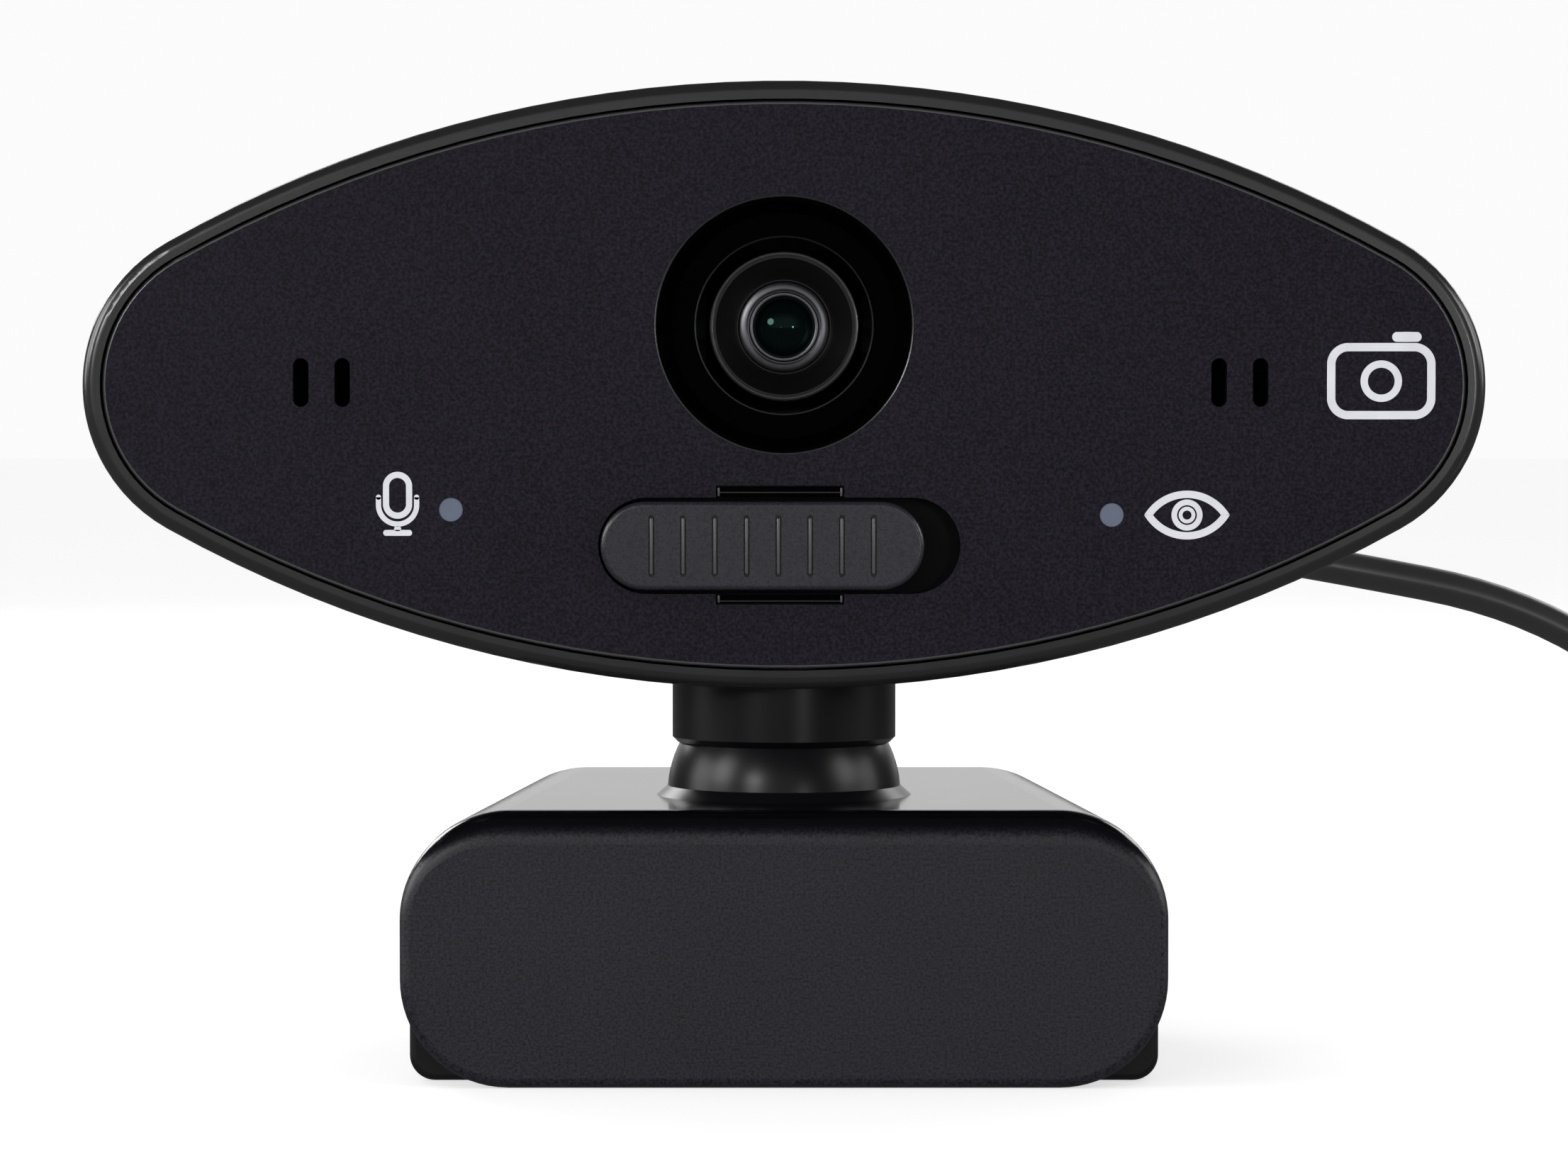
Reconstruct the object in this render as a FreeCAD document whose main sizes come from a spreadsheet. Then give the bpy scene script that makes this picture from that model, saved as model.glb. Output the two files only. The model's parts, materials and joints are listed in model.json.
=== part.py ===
"""Webcam with a sliding privacy shutter, a ball neck and a folding monitor clip.

Millimetres.  +X is to the right when the lens looks at you, the lens looks along -Y and +Z is up.
The origin is the mouth of the tripod thread under the folded clip, on the axis that the head pans about.
"""
import FreeCAD, Part
import math
import os
import re

import Sketcher
from FreeCAD import Placement, Rotation, Vector

doc = FreeCAD.newDocument("Webcam")

# ---------------------------------------------------------------- driving sizes
SIZES = {
    # head: a flat oval of four tangent arcs
    "head_half_length": 52.5,
    "head_half_height": 22.75,
    "head_end_radius": 12.3,
    "head_z": 51.8,
    "head_front_y": -11.0,
    "head_depth": 24.0,
    "head_back_round": 9.0,
    "shell_wall": 1.4,
    "rim_proud": 0.1,
    "rim_round": 0.9,
    "cover_groove": 0.15,
    "cover_thick": 2.0,
    "cover_chamfer": 0.25,
    # fasteners inside the head
    "case_post_inset": 15.5,
    "case_post_up": 9.0,
    "case_post_radius": 2.2,
    "case_post_meet_y": 2.0,
    "case_screw_radius": 0.9,
    "case_screw_head": 1.8,
    "board_post_x": 28.0,
    "board_post_up": 9.5,
    "board_post_radius": 2.0,
    "board_screw_radius": 0.8,
    # lens
    "lens_z": 56.3,
    "well_radius": 9.65,
    "well_flange": 10.8,
    "well_floor": 0.6,
    "iris_radius": 6.65,
    "barrel_flange": 5.67,
    "barrel_radius": 4.4,
    "barrel_front_y": -6.7,
    "barrel_length": 10.8,
    "ring_outer": 3.48,
    "ring_inner": 2.25,
    "glass_radius": 2.98,
    # circuit board
    "board_half_length": 30.0,
    "board_half_height": 13.0,
    "board_y": 7.5,
    "board_thick": 1.2,
    # slider and shutter
    "slot_left": -13.9,
    "slot_right": 13.2,
    "slot_z": 39.8,
    "slot_height": 7.2,
    "knob_length": 24.2,
    "knob_height": 6.6,
    "knob_proud": 0.9,
    "knob_ribs": 8,
    "rib_pitch": 2.37,
    "slide_travel": 2.6,
    "carrier_thick": 0.7,
    "layer_gap": 0.15,
    "blade_thick": 0.4,
    "blade_radius": 4.2,
    "blade_arm": 4.0,
    "blade_swing": 36.0,
    "pivot_x": -16.0,
    "pivot_z": 47.2,
    "pivot_radius": 1.2,
    "drive_pin_radius": 0.6,
    "retainer_thick": 0.6,
    # openings in the face
    "mic_left_x": -34.55,
    "mic_right_x": 34.05,
    "mic_z": 52.0,
    "mic_pitch": 3.1,
    "mic_slot_width": 1.17,
    "mic_slot_height": 3.65,
    "led_left_x": -24.9,
    "led_left_z": 42.5,
    "led_right_x": 24.5,
    "led_right_z": 42.1,
    "led_radius": 0.885,
    # ball neck
    "ball_radius": 9.0,
    "ball_cavity": 6.4,
    "ball_gap": 0.15,
    "ball_foot": 9.8,
    "ball_foot_height": 0.8,
    "tilt_limit": 18.0,
    "collar_radius": 8.6,
    "collar_bottom_z": 24.4,
    "collar_top_z": 32.6,
    "stud_radius": 2.0,
    "pan_journal": 4.5,
    # clip
    "plate_z": 20.4,
    "plate_thick": 3.6,
    "lip_half_width": 28.3,
    "lip_corner": 8.0,
    "lip_front_y": -18.0,
    "lip_thick": 3.2,
    "lip_round": 0.8,
    "lip_top_round": 2.4,
    "plate_back_y": 30.0,
    "plate_back_half": 24.5,
    "plate_back_round": 5.0,
    "pad_thick": 1.0,
    "hinge_y": 26.0,
    "hinge_z": 9.0,
    "hinge_pin_radius": 1.5,
    "ear_radius": 3.8,
    "ear_inner_x": 14.0,
    "ear_outer_x": 17.4,
    "knuckle_radius": 3.6,
    "knuckle_half": 13.5,
    # folding leg
    "leg_half_width": 25.5,
    "leg_bottom_z": 2.0,
    "leg_top_z": 8.0,
    "leg_back_y": 21.3,
    "toe_half_width": 27.9,
    "toe_front_y": -13.5,
    "toe_back_y": -5.7,
    "toe_height": 6.0,
    "toe_corner": 1.9,
    "tongue_front_y": -11.5,
    "tongue_top_z": 5.0,
    "thread_radius": 2.6,
    "insert_radius": 4.0,
    "insert_length": 7.0,
    "boss_radius": 5.5,
    # cable
    "cable_radius": 1.5,
    "relief_x": 20.5,
    "relief_z": 43.5,
    "relief_end_y": 24.0,
    "coil_x": 106.0,
    "coil_y": 24.0,
    "coil_bed": 0.6,
    "coil_mean_radius": 18.0,
    "coil_columns": 3,
    "coil_layers": 4,
    "coil_pitch": 3.05,
    "plug_x": 128.0,
    "plug_y": -9.0,
    "plug_width": 15.6,
    "plug_height": 7.0,
    "plug_length": 22.0,
    "usb_width": 12.0,
    "usb_height": 4.5,
    "usb_length": 12.0,
    "usb_wall": 0.3,
    "tongue_thick": 1.9,
}
DERIVED = {
    "case_post_x": "head_half_length - case_post_inset",
    "head_back_y": "head_front_y + head_depth",
    "cover_inset": "shell_wall + cover_groove",
    "cover_back_y": "head_front_y + cover_thick",
    "carrier_y": "cover_back_y + layer_gap",
    "blade_y": "carrier_y + carrier_thick + layer_gap + 0.05",
    "retainer_y": "blade_y + blade_thick + layer_gap",
    "board_back_y": "board_y + board_thick",
    "slot_middle_x": "(slot_left + slot_right) / 2",
    "knob_left_x": "slot_left + 0.2",
    "knob_middle_x": "knob_left_x + knob_length / 2",
    "lever_up": "slide_travel / 2 / tan(blade_swing / 2 * 1deg)",
    "plate_under_z": "plate_z - plate_thick",
    "lip_back_y": "lip_front_y + lip_thick",
    "nut_z": "plate_z + 2",
    "washer_z": "nut_z + 2.4",
    "cup_z": "washer_z + 0.5",
    "coil_half_width": "coil_columns * coil_pitch / 2",
    "coil_height": "coil_layers * coil_pitch",
    "plate_side_inset": "lip_corner - sqrt(lip_corner^2 - (lip_corner - plate_thick)^2)",
    "plate_taper": "(lip_half_width - plate_back_half) / (plate_back_y - lip_front_y)",
    "back_round_x": "plate_back_half - plate_side_inset + (plate_taper - 1) * plate_back_round",
    "blade_reach": "sqrt(pivot_x^2 + (lens_z - pivot_z)^2)",
    "blade_angle": "atan((lens_z - pivot_z) / (0 - pivot_x)) / 1deg + blade_swing",
    "lever_angle": "90 + blade_swing / 2",
}

sheet = doc.addObject("Spreadsheet::Sheet", "dim")
NAMES = list(SIZES) + list(DERIVED)


def formula(words):
    """Write an expression for the sheet's values from their plain names."""
    return re.sub(r"[a-z_]{3,}", lambda m: "dim." + m.group() if m.group() in NAMES else m.group(), str(words))


for row, (alias, value) in enumerate({**SIZES, **DERIVED}.items(), start=1):
    sheet.set(f"A{row}", alias)
    text = str(value) if alias in SIZES else "=" + formula(value).replace("dim.", "")
    sheet.set(f"B{row}", text)
    sheet.setAlias(f"B{row}", alias)
doc.recompute()


def value(alias):
    """A size from the sheet, as a plain number."""
    number = sheet.get(alias)
    return float(getattr(number, "Value", number))


# ---------------------------------------------------------------- small helpers
TURNS = {"Z": Rotation(), "Y": Rotation(Vector(1, 0, 0), -90), "X": Rotation(Vector(0, 1, 0), 90)}


def bind(item, **formulas):
    for prop, words in formulas.items():
        item.setExpression(prop, formula(words))
    return item


def put(item, x, y, z, axis="Z"):
    """Stand an item on its point, with its own Z turned to the axis."""
    item.Placement = Placement(Vector(), TURNS[axis])
    for letter, words in zip("xyz", (x, y, z)):
        item.setExpression("Placement.Base." + letter, formula(words))
    return item


def rod(name, radius, length, x, y, z, axis="Y"):
    """Cylinder of the given radius and length, from a point along +axis."""
    item = doc.addObject("Part::Cylinder", name)
    bind(item, Radius=radius, Height=length)
    return put(item, x, y, z, axis)


def cone(name, radius_1, radius_2, length, x, y, z, axis="Y"):
    item = doc.addObject("Part::Cone", name)
    bind(item, Radius1=radius_1, Radius2=radius_2, Height=length)
    return put(item, x, y, z, axis)


def ball(name, radius, x, y, z):
    item = doc.addObject("Part::Sphere", name)
    bind(item, Radius=radius)
    return put(item, x, y, z)


def block(name, x, y, z):
    """Box between pairs of formulas for its low and high sides."""
    item = doc.addObject("Part::Box", name)
    sides = {"Length": x, "Width": y, "Height": z}
    for prop, (low, high) in sides.items():
        item.setExpression(prop, formula(f"({high}) - ({low})"))
    return put(item, x[0], y[0], z[0])


def middle(centre, size):
    """The low and high sides of a stretch that is centred on a place."""
    return f"({centre}) - ({size}) / 2", f"({centre}) + ({size}) / 2"


def fuse(name, *pieces):
    item = doc.addObject("Part::MultiFuse", name)
    item.Shapes = list(pieces)
    return item


def common(name, *pieces):
    item = doc.addObject("Part::MultiCommon", name)
    item.Shapes = list(pieces)
    return item


def cut(name, base, *tools):
    item = doc.addObject("Part::Cut", name)
    item.Base = base
    item.Tool = tools[0] if len(tools) == 1 else fuse(name + "_tools", *tools)
    return item


def rounded(name, base, radius, wanted, kind="Part::Fillet"):
    """Round or chamfer the edges that a test picks."""
    doc.recompute()
    item = doc.addObject(kind, name)
    item.Base = base
    item.Edges = [(n, radius, radius) for n, edge in enumerate(base.Shape.Edges, start=1) if wanted(edge)]
    return item


def lies_at(axis, place):
    """Test for edges that lie wholly at one coordinate."""
    def test(edge):
        box = edge.BoundBox
        low, high = getattr(box, axis + "Min"), getattr(box, axis + "Max")
        return abs(low - place) < 0.01 and abs(high - place) < 0.01
    return test


def runs_along(axis):
    """Test for straight edges parallel to an axis."""
    def test(edge):
        sides = {"X": edge.BoundBox.XLength, "Y": edge.BoundBox.YLength, "Z": edge.BoundBox.ZLength}
        return sides[axis] > 0.1 and all(side < 0.01 for key, side in sides.items() if key != axis)
    return test


def stadium(name, x, z, length, height, y, depth):
    """Slot-shaped prism along Y with round ends, longer along X (height is its width)."""
    half = f"(({length}) - ({height})) / 2"
    return fuse(
        name,
        block(name + "_bar", (f"({x}) - {half}", f"({x}) + {half}"), (y, f"({y}) + ({depth})"), middle(z, height)),
        rod(name + "_left", f"({height}) / 2", depth, f"({x}) - {half}", y, z),
        rod(name + "_right", f"({height}) / 2", depth, f"({x}) + {half}", y, z),
    )


def upright_stadium(name, x, z, width, height, y, depth):
    """Slot-shaped prism along Y with round ends, longer along Z."""
    half = f"(({height}) - ({width})) / 2"
    return fuse(
        name,
        block(name + "_bar", middle(x, width), (y, f"({y}) + ({depth})"), (f"({z}) - {half}", f"({z}) + {half}")),
        rod(name + "_low", f"({width}) / 2", depth, x, y, f"({z}) - {half}"),
        rod(name + "_high", f"({width}) / 2", depth, x, y, f"({z}) + {half}"),
    )


def washer(name, outer, inner, length, x, y, z, axis="Y"):
    return cut(
        name,
        rod(name + "_disc", outer, length, x, y, z, axis),
        rod(name + "_hole", inner, length, x, y, z, axis),
    )


def origin_plane(body, role):
    return next(item for item in body.Origin.OriginFeatures if item.Role == role)


def oval_sketch(body, name, inset, y):
    """Four tangent arcs, inset from the head's outline, drawn upright at a depth y."""
    sketch = body.newObject("Sketcher::SketchObject", name)
    sketch.AttachmentSupport = [(origin_plane(body, "XZ_Plane"), "")]
    sketch.MapMode = "FlatFace"
    sketch.setExpression("AttachmentOffset.Base.y", formula("head_z"))
    sketch.setExpression("AttachmentOffset.Base.z", formula(f"-({y})"))
    long, high = value("head_half_length"), value("head_half_height")
    end = value("head_end_radius")
    top = ((long - end) ** 2 + high ** 2 - end ** 2) / (2 * (high - end))
    turn = math.atan2(long - end, top - high)
    right, left = Vector(long - end, 0, 0), Vector(end - long, 0, 0)
    upper, lower = Vector(0, high - top, 0), Vector(0, top - high, 0)
    up = Vector(0, 0, 1)
    rise = math.pi / 2 - turn
    arcs = [
        (right, end, -rise, rise),
        (upper, top, rise, math.pi - rise),
        (left, end, math.pi - rise, math.pi + rise),
        (lower, top, math.pi + rise, 2 * math.pi - rise),
    ]
    for centre, radius, start, stop in arcs:
        sketch.addGeometry(Part.ArcOfCircle(Part.Circle(centre, up, radius), start, stop), False)
    limit = Sketcher.Constraint
    sketch.addConstraint([
        limit("Symmetric", 0, 1, 0, 2, -1),
        limit("Tangent", 0, 2, 1, 1),
        limit("Tangent", 0, 1, 3, 2),
        limit("Symmetric", 0, 1, 2, 2, -2),
        limit("Symmetric", 0, 2, 2, 1, -2),
        limit("Equal", 0, 2),
        limit("Coincident", 1, 2, 2, 1),
        limit("Coincident", 3, 1, 2, 2),
    ])
    centre_x = sketch.addConstraint(limit("DistanceX", -1, 1, 0, 3, long - end))
    end_radius = sketch.addConstraint(limit("Radius", 0, end))
    top_radius = sketch.addConstraint(limit("Radius", 1, top))
    flat = "((head_half_length - head_end_radius)^2 + head_half_height^2 - head_end_radius^2)"
    sketch.setExpression(f"Constraints[{centre_x}]", formula("head_half_length - head_end_radius"))
    sketch.setExpression(f"Constraints[{end_radius}]", formula(f"head_end_radius - ({inset})"))
    sketch.setExpression(
        f"Constraints[{top_radius}]",
        formula(f"{flat} / (2 * (head_half_height - head_end_radius)) - ({inset})"),
    )
    return sketch


def oval_body(name, inset, front_y, length):
    """Prism of the head's outline that runs back from front_y."""
    body = doc.addObject("PartDesign::Body", name)
    sketch = oval_sketch(body, name + "_outline", inset, front_y)
    pad = body.newObject("PartDesign::Pad", name + "_pad")
    pad.Profile = sketch
    pad.Reversed = True
    pad.setExpression("Length", formula(length))
    doc.recompute()
    return body


def dress(body, kind, size, y, prop="Radius"):
    """Round or chamfer the outline of an oval body at one depth."""
    base = body.Tip
    test = lies_at("Y", y)
    names = [f"Edge{n}" for n, edge in enumerate(base.Shape.Edges, start=1) if test(edge)]
    feature = body.newObject(kind, body.Name + "_" + prop.lower() + str(len(body.Group)))
    feature.Base = (base, names)
    feature.setExpression(prop, formula(size))
    doc.recompute()
    return feature


def screw(name, head, head_length, shank, shank_length, x, y, z, axis="Y"):
    """Screw with its head towards -axis, its shank along +axis and a cross recess; starts under the head."""
    head_start = {"x": x, "y": y, "z": z}
    head_start[axis.lower()] = f"({head_start[axis.lower()]}) - ({head_length})"
    spots = (head_start["x"], head_start["y"], head_start["z"])
    solid = fuse(
        name + "_solid",
        rod(name + "_head", head, head_length, *spots, axis),
        rod(name + "_shank", shank, shank_length, x, y, z, axis),
    )
    wide, slim = f"({head}) * 1.1", f"({head}) * 0.22"
    along = (head_start[axis.lower()], f"({head_start[axis.lower()]}) + ({head_length}) / 2")
    slots = []
    for number, sizes in enumerate(((wide, slim), (slim, wide))):
        spans = {}
        others = [letter for letter in "XYZ" if letter != axis]
        for letter, size in zip(others, sizes):
            spans[letter] = middle({"X": x, "Y": y, "Z": z}[letter], size)
        spans[axis] = along
        slots.append(block(f"{name}_slot_{number}", spans["X"], spans["Y"], spans["Z"]))
    return cut(name, solid, *slots)


def rear_screw(name, head, head_length, shank, shank_length, x, y, z):
    """Screw along Y that is driven from behind: its head is on the +Y side."""
    solid = fuse(
        name + "_solid",
        rod(name + "_head", head, head_length, x, y, z),
        rod(name + "_shank", shank, shank_length, x, f"({y}) - ({shank_length})", z),
    )
    deep = (f"({y}) + ({head_length}) / 2", f"({y}) + ({head_length})")
    wide, slim = f"({head}) * 1.1", f"({head}) * 0.22"
    slot_a = block(name + "_slot_a", middle(x, wide), deep, middle(z, slim))
    slot_b = block(name + "_slot_b", middle(x, slim), deep, middle(z, wide))
    return cut(name, solid, slot_a, slot_b)


CASE_POSTS = [(f"{sx}case_post_x", f"head_z {sz} case_post_up") for sx in ("", "-") for sz in "+-"]
BOARD_POSTS = [(f"{sx}board_post_x", f"head_z {sz} board_post_up") for sx in ("", "-") for sz in "+-"]
RETAINER_POSTS = [(-22.2, 37.0), (18.5, 40.0), (-9.5, 46.3)]
RETAINER_POST_RADIUS = 1.5
MIC_SIDES = {"left": "mic_left_x", "right": "mic_right_x"}


# ---------------------------------------------------------------- head: shell
def make_rear_housing():
    outside = oval_body("housing_outside", "0", "head_front_y - rim_proud", "head_depth + rim_proud")
    dress(outside, "PartDesign::Fillet", "head_back_round", value("head_back_y"))
    dress(outside, "PartDesign::Fillet", "rim_round", value("head_front_y") - value("rim_proud"))
    inside = oval_body("housing_inside", "shell_wall", "head_front_y - 1", "head_depth + 1 - shell_wall")
    dress(inside, "PartDesign::Fillet", "head_back_round - shell_wall", value("head_back_y") - value("shell_wall"))
    shell = cut("housing_shell", outside, inside)
    posts, holes = [], []
    for number, (x, z) in enumerate(CASE_POSTS):
        span = "head_back_y - 2.7 - case_post_meet_y"
        posts.append(rod(f"housing_post_{number}", "case_post_radius + 0.4", span, x, "case_post_meet_y", z))
        holes.append(rod(f"housing_bore_{number}", "case_screw_radius + 0.1", 9, x, "case_post_meet_y", z))
        holes.append(rod(f"housing_sink_{number}", "case_screw_head + 0.2", 9, x, "case_post_meet_y + 4", z))
    for number, (x, z) in enumerate(BOARD_POSTS):
        span = "head_back_y - 1 - board_back_y"
        posts.append(rod(f"housing_standoff_{number}", "board_post_radius", span, x, "board_back_y", z))
        holes.append(rod(f"housing_pilot_{number}", "board_screw_radius", 2.8, x, "board_back_y", z))
    holes.append(rod("housing_neck_hole", "collar_radius + 0.02", 6, 0, 0, "head_z - head_half_height - 2", "Z"))
    holes.append(rod("housing_cable_hole", "cable_radius + 1.1", 4, "relief_x", "head_back_y - 3", "relief_z"))
    return cut("rear_housing", fuse("housing_with_posts", shell, *posts), *holes)


def make_front_cover():
    plate = oval_body("cover_plate", "cover_inset", "head_front_y", "cover_thick")
    dress(plate, "PartDesign::Chamfer", "cover_chamfer", value("head_front_y"), "Size")
    solids = [plate]
    holes = [rod("cover_lens_hole", "well_radius", "cover_thick", 0, "head_front_y", "lens_z")]
    for number, (x, z) in enumerate(CASE_POSTS):
        span = "case_post_meet_y - cover_back_y"
        solids.append(rod(f"cover_post_{number}", "case_post_radius", span, x, "cover_back_y", z))
        holes.append(rod(f"cover_pilot_{number}", "case_screw_radius", 6, x, "case_post_meet_y - 6", z))
    post = "retainer_y - cover_back_y"
    for number, (x, z) in enumerate(RETAINER_POSTS):
        solids.append(rod(f"cover_boss_{number}", RETAINER_POST_RADIUS, post, x, "cover_back_y", z))
        holes.append(rod(f"cover_boss_bore_{number}", 0.5, f"{post} + 1", x, "cover_back_y - 1", z))
    solids.append(rod("cover_pivot", "pivot_radius", post, "pivot_x", "cover_back_y", "pivot_z"))
    holes.append(stadium("cover_slot", "slot_middle_x", "slot_z", "slot_right - slot_left", "slot_height",
                         "head_front_y", "cover_thick"))
    for side, x in MIC_SIDES.items():
        for number, step in enumerate(("-", "+")):
            holes.append(upright_stadium(f"cover_mic_{side}_{number}", f"{x} {step} mic_pitch / 2", "mic_z",
                                         "mic_slot_width", "mic_slot_height", "head_front_y", "cover_thick"))
    for side in ("left", "right"):
        holes.append(rod(f"cover_led_{side}", "led_radius + 0.015", "cover_thick", f"led_{side}_x",
                         "head_front_y", f"led_{side}_z"))
    notch = ("-5.1", "4.5")
    shallow = ("head_front_y", "head_front_y + 0.5")
    holes.append(block("cover_notch_up", notch, shallow, ("slot_z", "slot_z + slot_height / 2 + 0.9")))
    holes.append(block("cover_notch_low", notch, shallow, ("slot_z - slot_height / 2 - 0.8", "slot_z")))
    return cut("front_cover", fuse("cover_with_posts", *solids), *holes)


def make_case_screws():
    return fuse("case_screws", *[
        rear_screw(f"case_screw_{n}", "case_screw_head", 1.4, "case_screw_radius - 0.02", 9,
                   x, "case_post_meet_y + 4", z)
        for n, (x, z) in enumerate(CASE_POSTS)
    ])


# ---------------------------------------------------------------- head: lens
def make_lens_well():
    flange = rod("well_flange_disc", "well_flange", "well_floor", 0, "cover_back_y", "lens_z")
    wall = rod("well_wall", "well_radius - 0.05", "cover_thick - 0.4", 0, "head_front_y + 0.4", "lens_z")
    bore = cone("well_bore", "well_radius - 0.35", "well_radius - 1.2", "cover_thick - 0.4", 0,
                "head_front_y + 0.4", "lens_z")
    iris = rod("well_iris", "iris_radius", "well_floor", 0, "cover_back_y", "lens_z")
    return cut("lens_well", fuse("well_solid", flange, wall), bore, iris)


def make_lens_barrel():
    flange = rod("barrel_flange_disc", "barrel_flange", 2.5, 0, "barrel_front_y", "lens_z")
    tube = rod("barrel_tube", "barrel_radius", "barrel_length", 0, "barrel_front_y", "lens_z")
    solid = rounded("barrel_solid", fuse("barrel_blank", flange, tube), 0.25,
                    lies_at("Y", value("barrel_front_y")), "Part::Chamfer")
    hood = cone("barrel_hood", "barrel_flange - 0.5", "ring_outer + 0.1", 1.8, 0, "barrel_front_y", "lens_z")
    seat = rod("barrel_ring_seat", "ring_outer + 0.02", 1, 0, "barrel_front_y + 1.8", "lens_z")
    glass = rod("barrel_glass_seat", "glass_radius + 0.02", 1.5, 0, "barrel_front_y + 2.8", "lens_z")
    bore = rod("barrel_bore", 2.5, "barrel_length - 4.3", 0, "barrel_front_y + 4.3", "lens_z")
    return cut("lens_barrel", solid, hood, seat, glass, bore)


def make_retaining_ring():
    return washer("retaining_ring", "ring_outer", "ring_inner", 1, 0, "barrel_front_y + 1.8", "lens_z")


def make_front_lens():
    rim = rod("front_lens_rim", "glass_radius", 1.5, 0, "barrel_front_y + 2.8", "lens_z")
    window = rod("front_lens_window", "ring_inner - 0.05", 2, 0, "barrel_front_y + 2.05", "lens_z")
    dome = common("front_lens_dome", window, ball("front_lens_ball", 4, 0, "barrel_front_y + 6.1", "lens_z"))
    return fuse("front_lens", rim, dome)


def make_inner_lenses():
    middle_lens = rod("inner_lens_a", 2.45, 1.2, 0, "barrel_front_y + 5.3", "lens_z")
    rear_lens = rod("inner_lens_b", 2.45, 1.4, 0, "barrel_front_y + 7.5", "lens_z")
    return fuse("inner_lenses", middle_lens, rear_lens)


def make_lens_spacers():
    return fuse(
        "lens_spacers",
        washer("lens_spacer_a", 2.48, 1.8, 1, 0, "barrel_front_y + 4.3", "lens_z"),
        washer("lens_spacer_b", 2.48, 1.8, 1, 0, "barrel_front_y + 6.5", "lens_z"),
    )


def make_lens_holder():
    body = block("holder_block", middle(0, 12), ("-1", "board_y"), middle("lens_z", 12))
    bore = rod("holder_bore", "barrel_radius + 0.02", 5.2, 0, -1, "lens_z")
    room = block("holder_room", middle(0, 8), ("4.2", "board_y"), middle("lens_z", 8))
    pilots = [rod(f"holder_pilot_{n}", 0.6, 3, x, "board_y - 3", "lens_z") for n, x in enumerate((-5, 5))]
    return cut("lens_holder", body, bore, room, *pilots)


def make_ir_filter():
    return block("ir_filter", middle(0, 7.9), ("4.2", "4.7"), middle("lens_z", 7.9))


def make_image_sensor():
    return block("image_sensor", middle(0, 7), ("board_y - 1", "board_y"), middle("lens_z", 6))


# ---------------------------------------------------------------- head: electronics
def make_main_board():
    plate = block("board_plate", ("-board_half_length", "board_half_length"), ("board_y", "board_back_y"),
                  ("head_z - board_half_height", "head_z + board_half_height"))
    plate = rounded("board_rounded", plate, 2, runs_along("Y"))
    holes = [rod(f"board_hole_{n}", "board_screw_radius + 0.2", "board_thick", x, "board_y", z)
             for n, (x, z) in enumerate(BOARD_POSTS)]
    holes += [rod(f"board_holder_hole_{n}", 0.7, "board_thick", x, "board_y", "lens_z")
              for n, x in enumerate((-5, 5))]
    return cut("main_board", plate, *holes)


def make_board_screws():
    return fuse("board_screws", *[
        screw(f"board_screw_{n}", 1.6, 1.1, "board_screw_radius - 0.02", 3.8, x, "board_y", z)
        for n, (x, z) in enumerate(BOARD_POSTS)
    ])


def make_holder_screws():
    return fuse("holder_screws", *[
        rear_screw(f"holder_screw_{n}", 1.2, 0.8, 0.58, 3.6, x, "board_back_y", "lens_z")
        for n, x in enumerate((-5, 5))
    ])


def board_part(name, x, z, width, height, depth):
    """Component on the back of the circuit board."""
    return block(name, middle(x, width), ("board_back_y", f"board_back_y + {depth}"), middle(z, height))


def make_cable_header():
    solid = board_part("header_block", 11, "relief_z", 8, 4.4, 2.6)
    mouth = block("header_mouth", middle(11.5, 8), ("board_back_y + 0.6", "board_back_y + 2"),
                  middle("relief_z", 3.2))
    return cut("cable_header", solid, mouth)


def make_status_leds():
    return fuse("status_leds", *[
        block(f"led_{side}", middle(f"led_{side}_x", 1.6), ("board_y - 0.8", "board_y"),
              middle(f"led_{side}_z", 1.2))
        for side in ("left", "right")
    ])


def make_light_pipes():
    return fuse("light_pipes", *[
        rod(f"light_pipe_{side}", "led_radius", "board_y - 0.9 - head_front_y - 0.05", f"led_{side}_x",
            "head_front_y + 0.05", f"led_{side}_z")
        for side in ("left", "right")
    ])


def make_microphones():
    return fuse("microphones", *[
        block(f"microphone_{side}", middle(x, 3.8), ("cover_back_y + 1.6", "cover_back_y + 2.6"),
              middle("mic_z", 3))
        for side, x in MIC_SIDES.items()
    ])


def make_microphone_boots():
    boots = []
    for side, x in MIC_SIDES.items():
        solid = block(f"boot_{side}_block", middle(x, 8), ("cover_back_y", "cover_back_y + 1.6"),
                      middle("mic_z", 6.4))
        hole = block(f"boot_{side}_hole", middle(x, 4.6), ("cover_back_y", "cover_back_y + 1"),
                     middle("mic_z", 3.6))
        port = rod(f"boot_{side}_port", 0.6, 1.6, x, "cover_back_y", "mic_z")
        boots.append(cut(f"boot_{side}", solid, hole, port))
    return fuse("microphone_boots", *boots)


def make_microphone_boards():
    return fuse("microphone_boards", *[
        block(f"microphone_board_{side}", middle(x, 8), ("cover_back_y + 2.6", "cover_back_y + 3.4"),
              middle("mic_z", 6.4))
        for side, x in MIC_SIDES.items()
    ])


# ---------------------------------------------------------------- head: neck side
def make_neck_collar():
    tall = rod("collar_tall", "collar_radius", "collar_top_z - collar_bottom_z", 0, 0, "collar_bottom_z", "Z")
    tall = rounded("collar_eased", tall, 0.5, lies_at("Z", value("collar_bottom_z")), "Part::Chamfer")
    saddle = block("collar_saddle", (-12, 12), (-8, 3.5), ("collar_top_z - 1.2", "collar_top_z"))
    cup = ball("collar_cup", "ball_radius + ball_gap", 0, 0, "plate_z")
    bore = rod("collar_bore", "stud_radius + 0.05", 12, 0, 0, "collar_bottom_z", "Z")
    return cut("neck_collar", fuse("collar_solid", tall, saddle), cup, bore)


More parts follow.
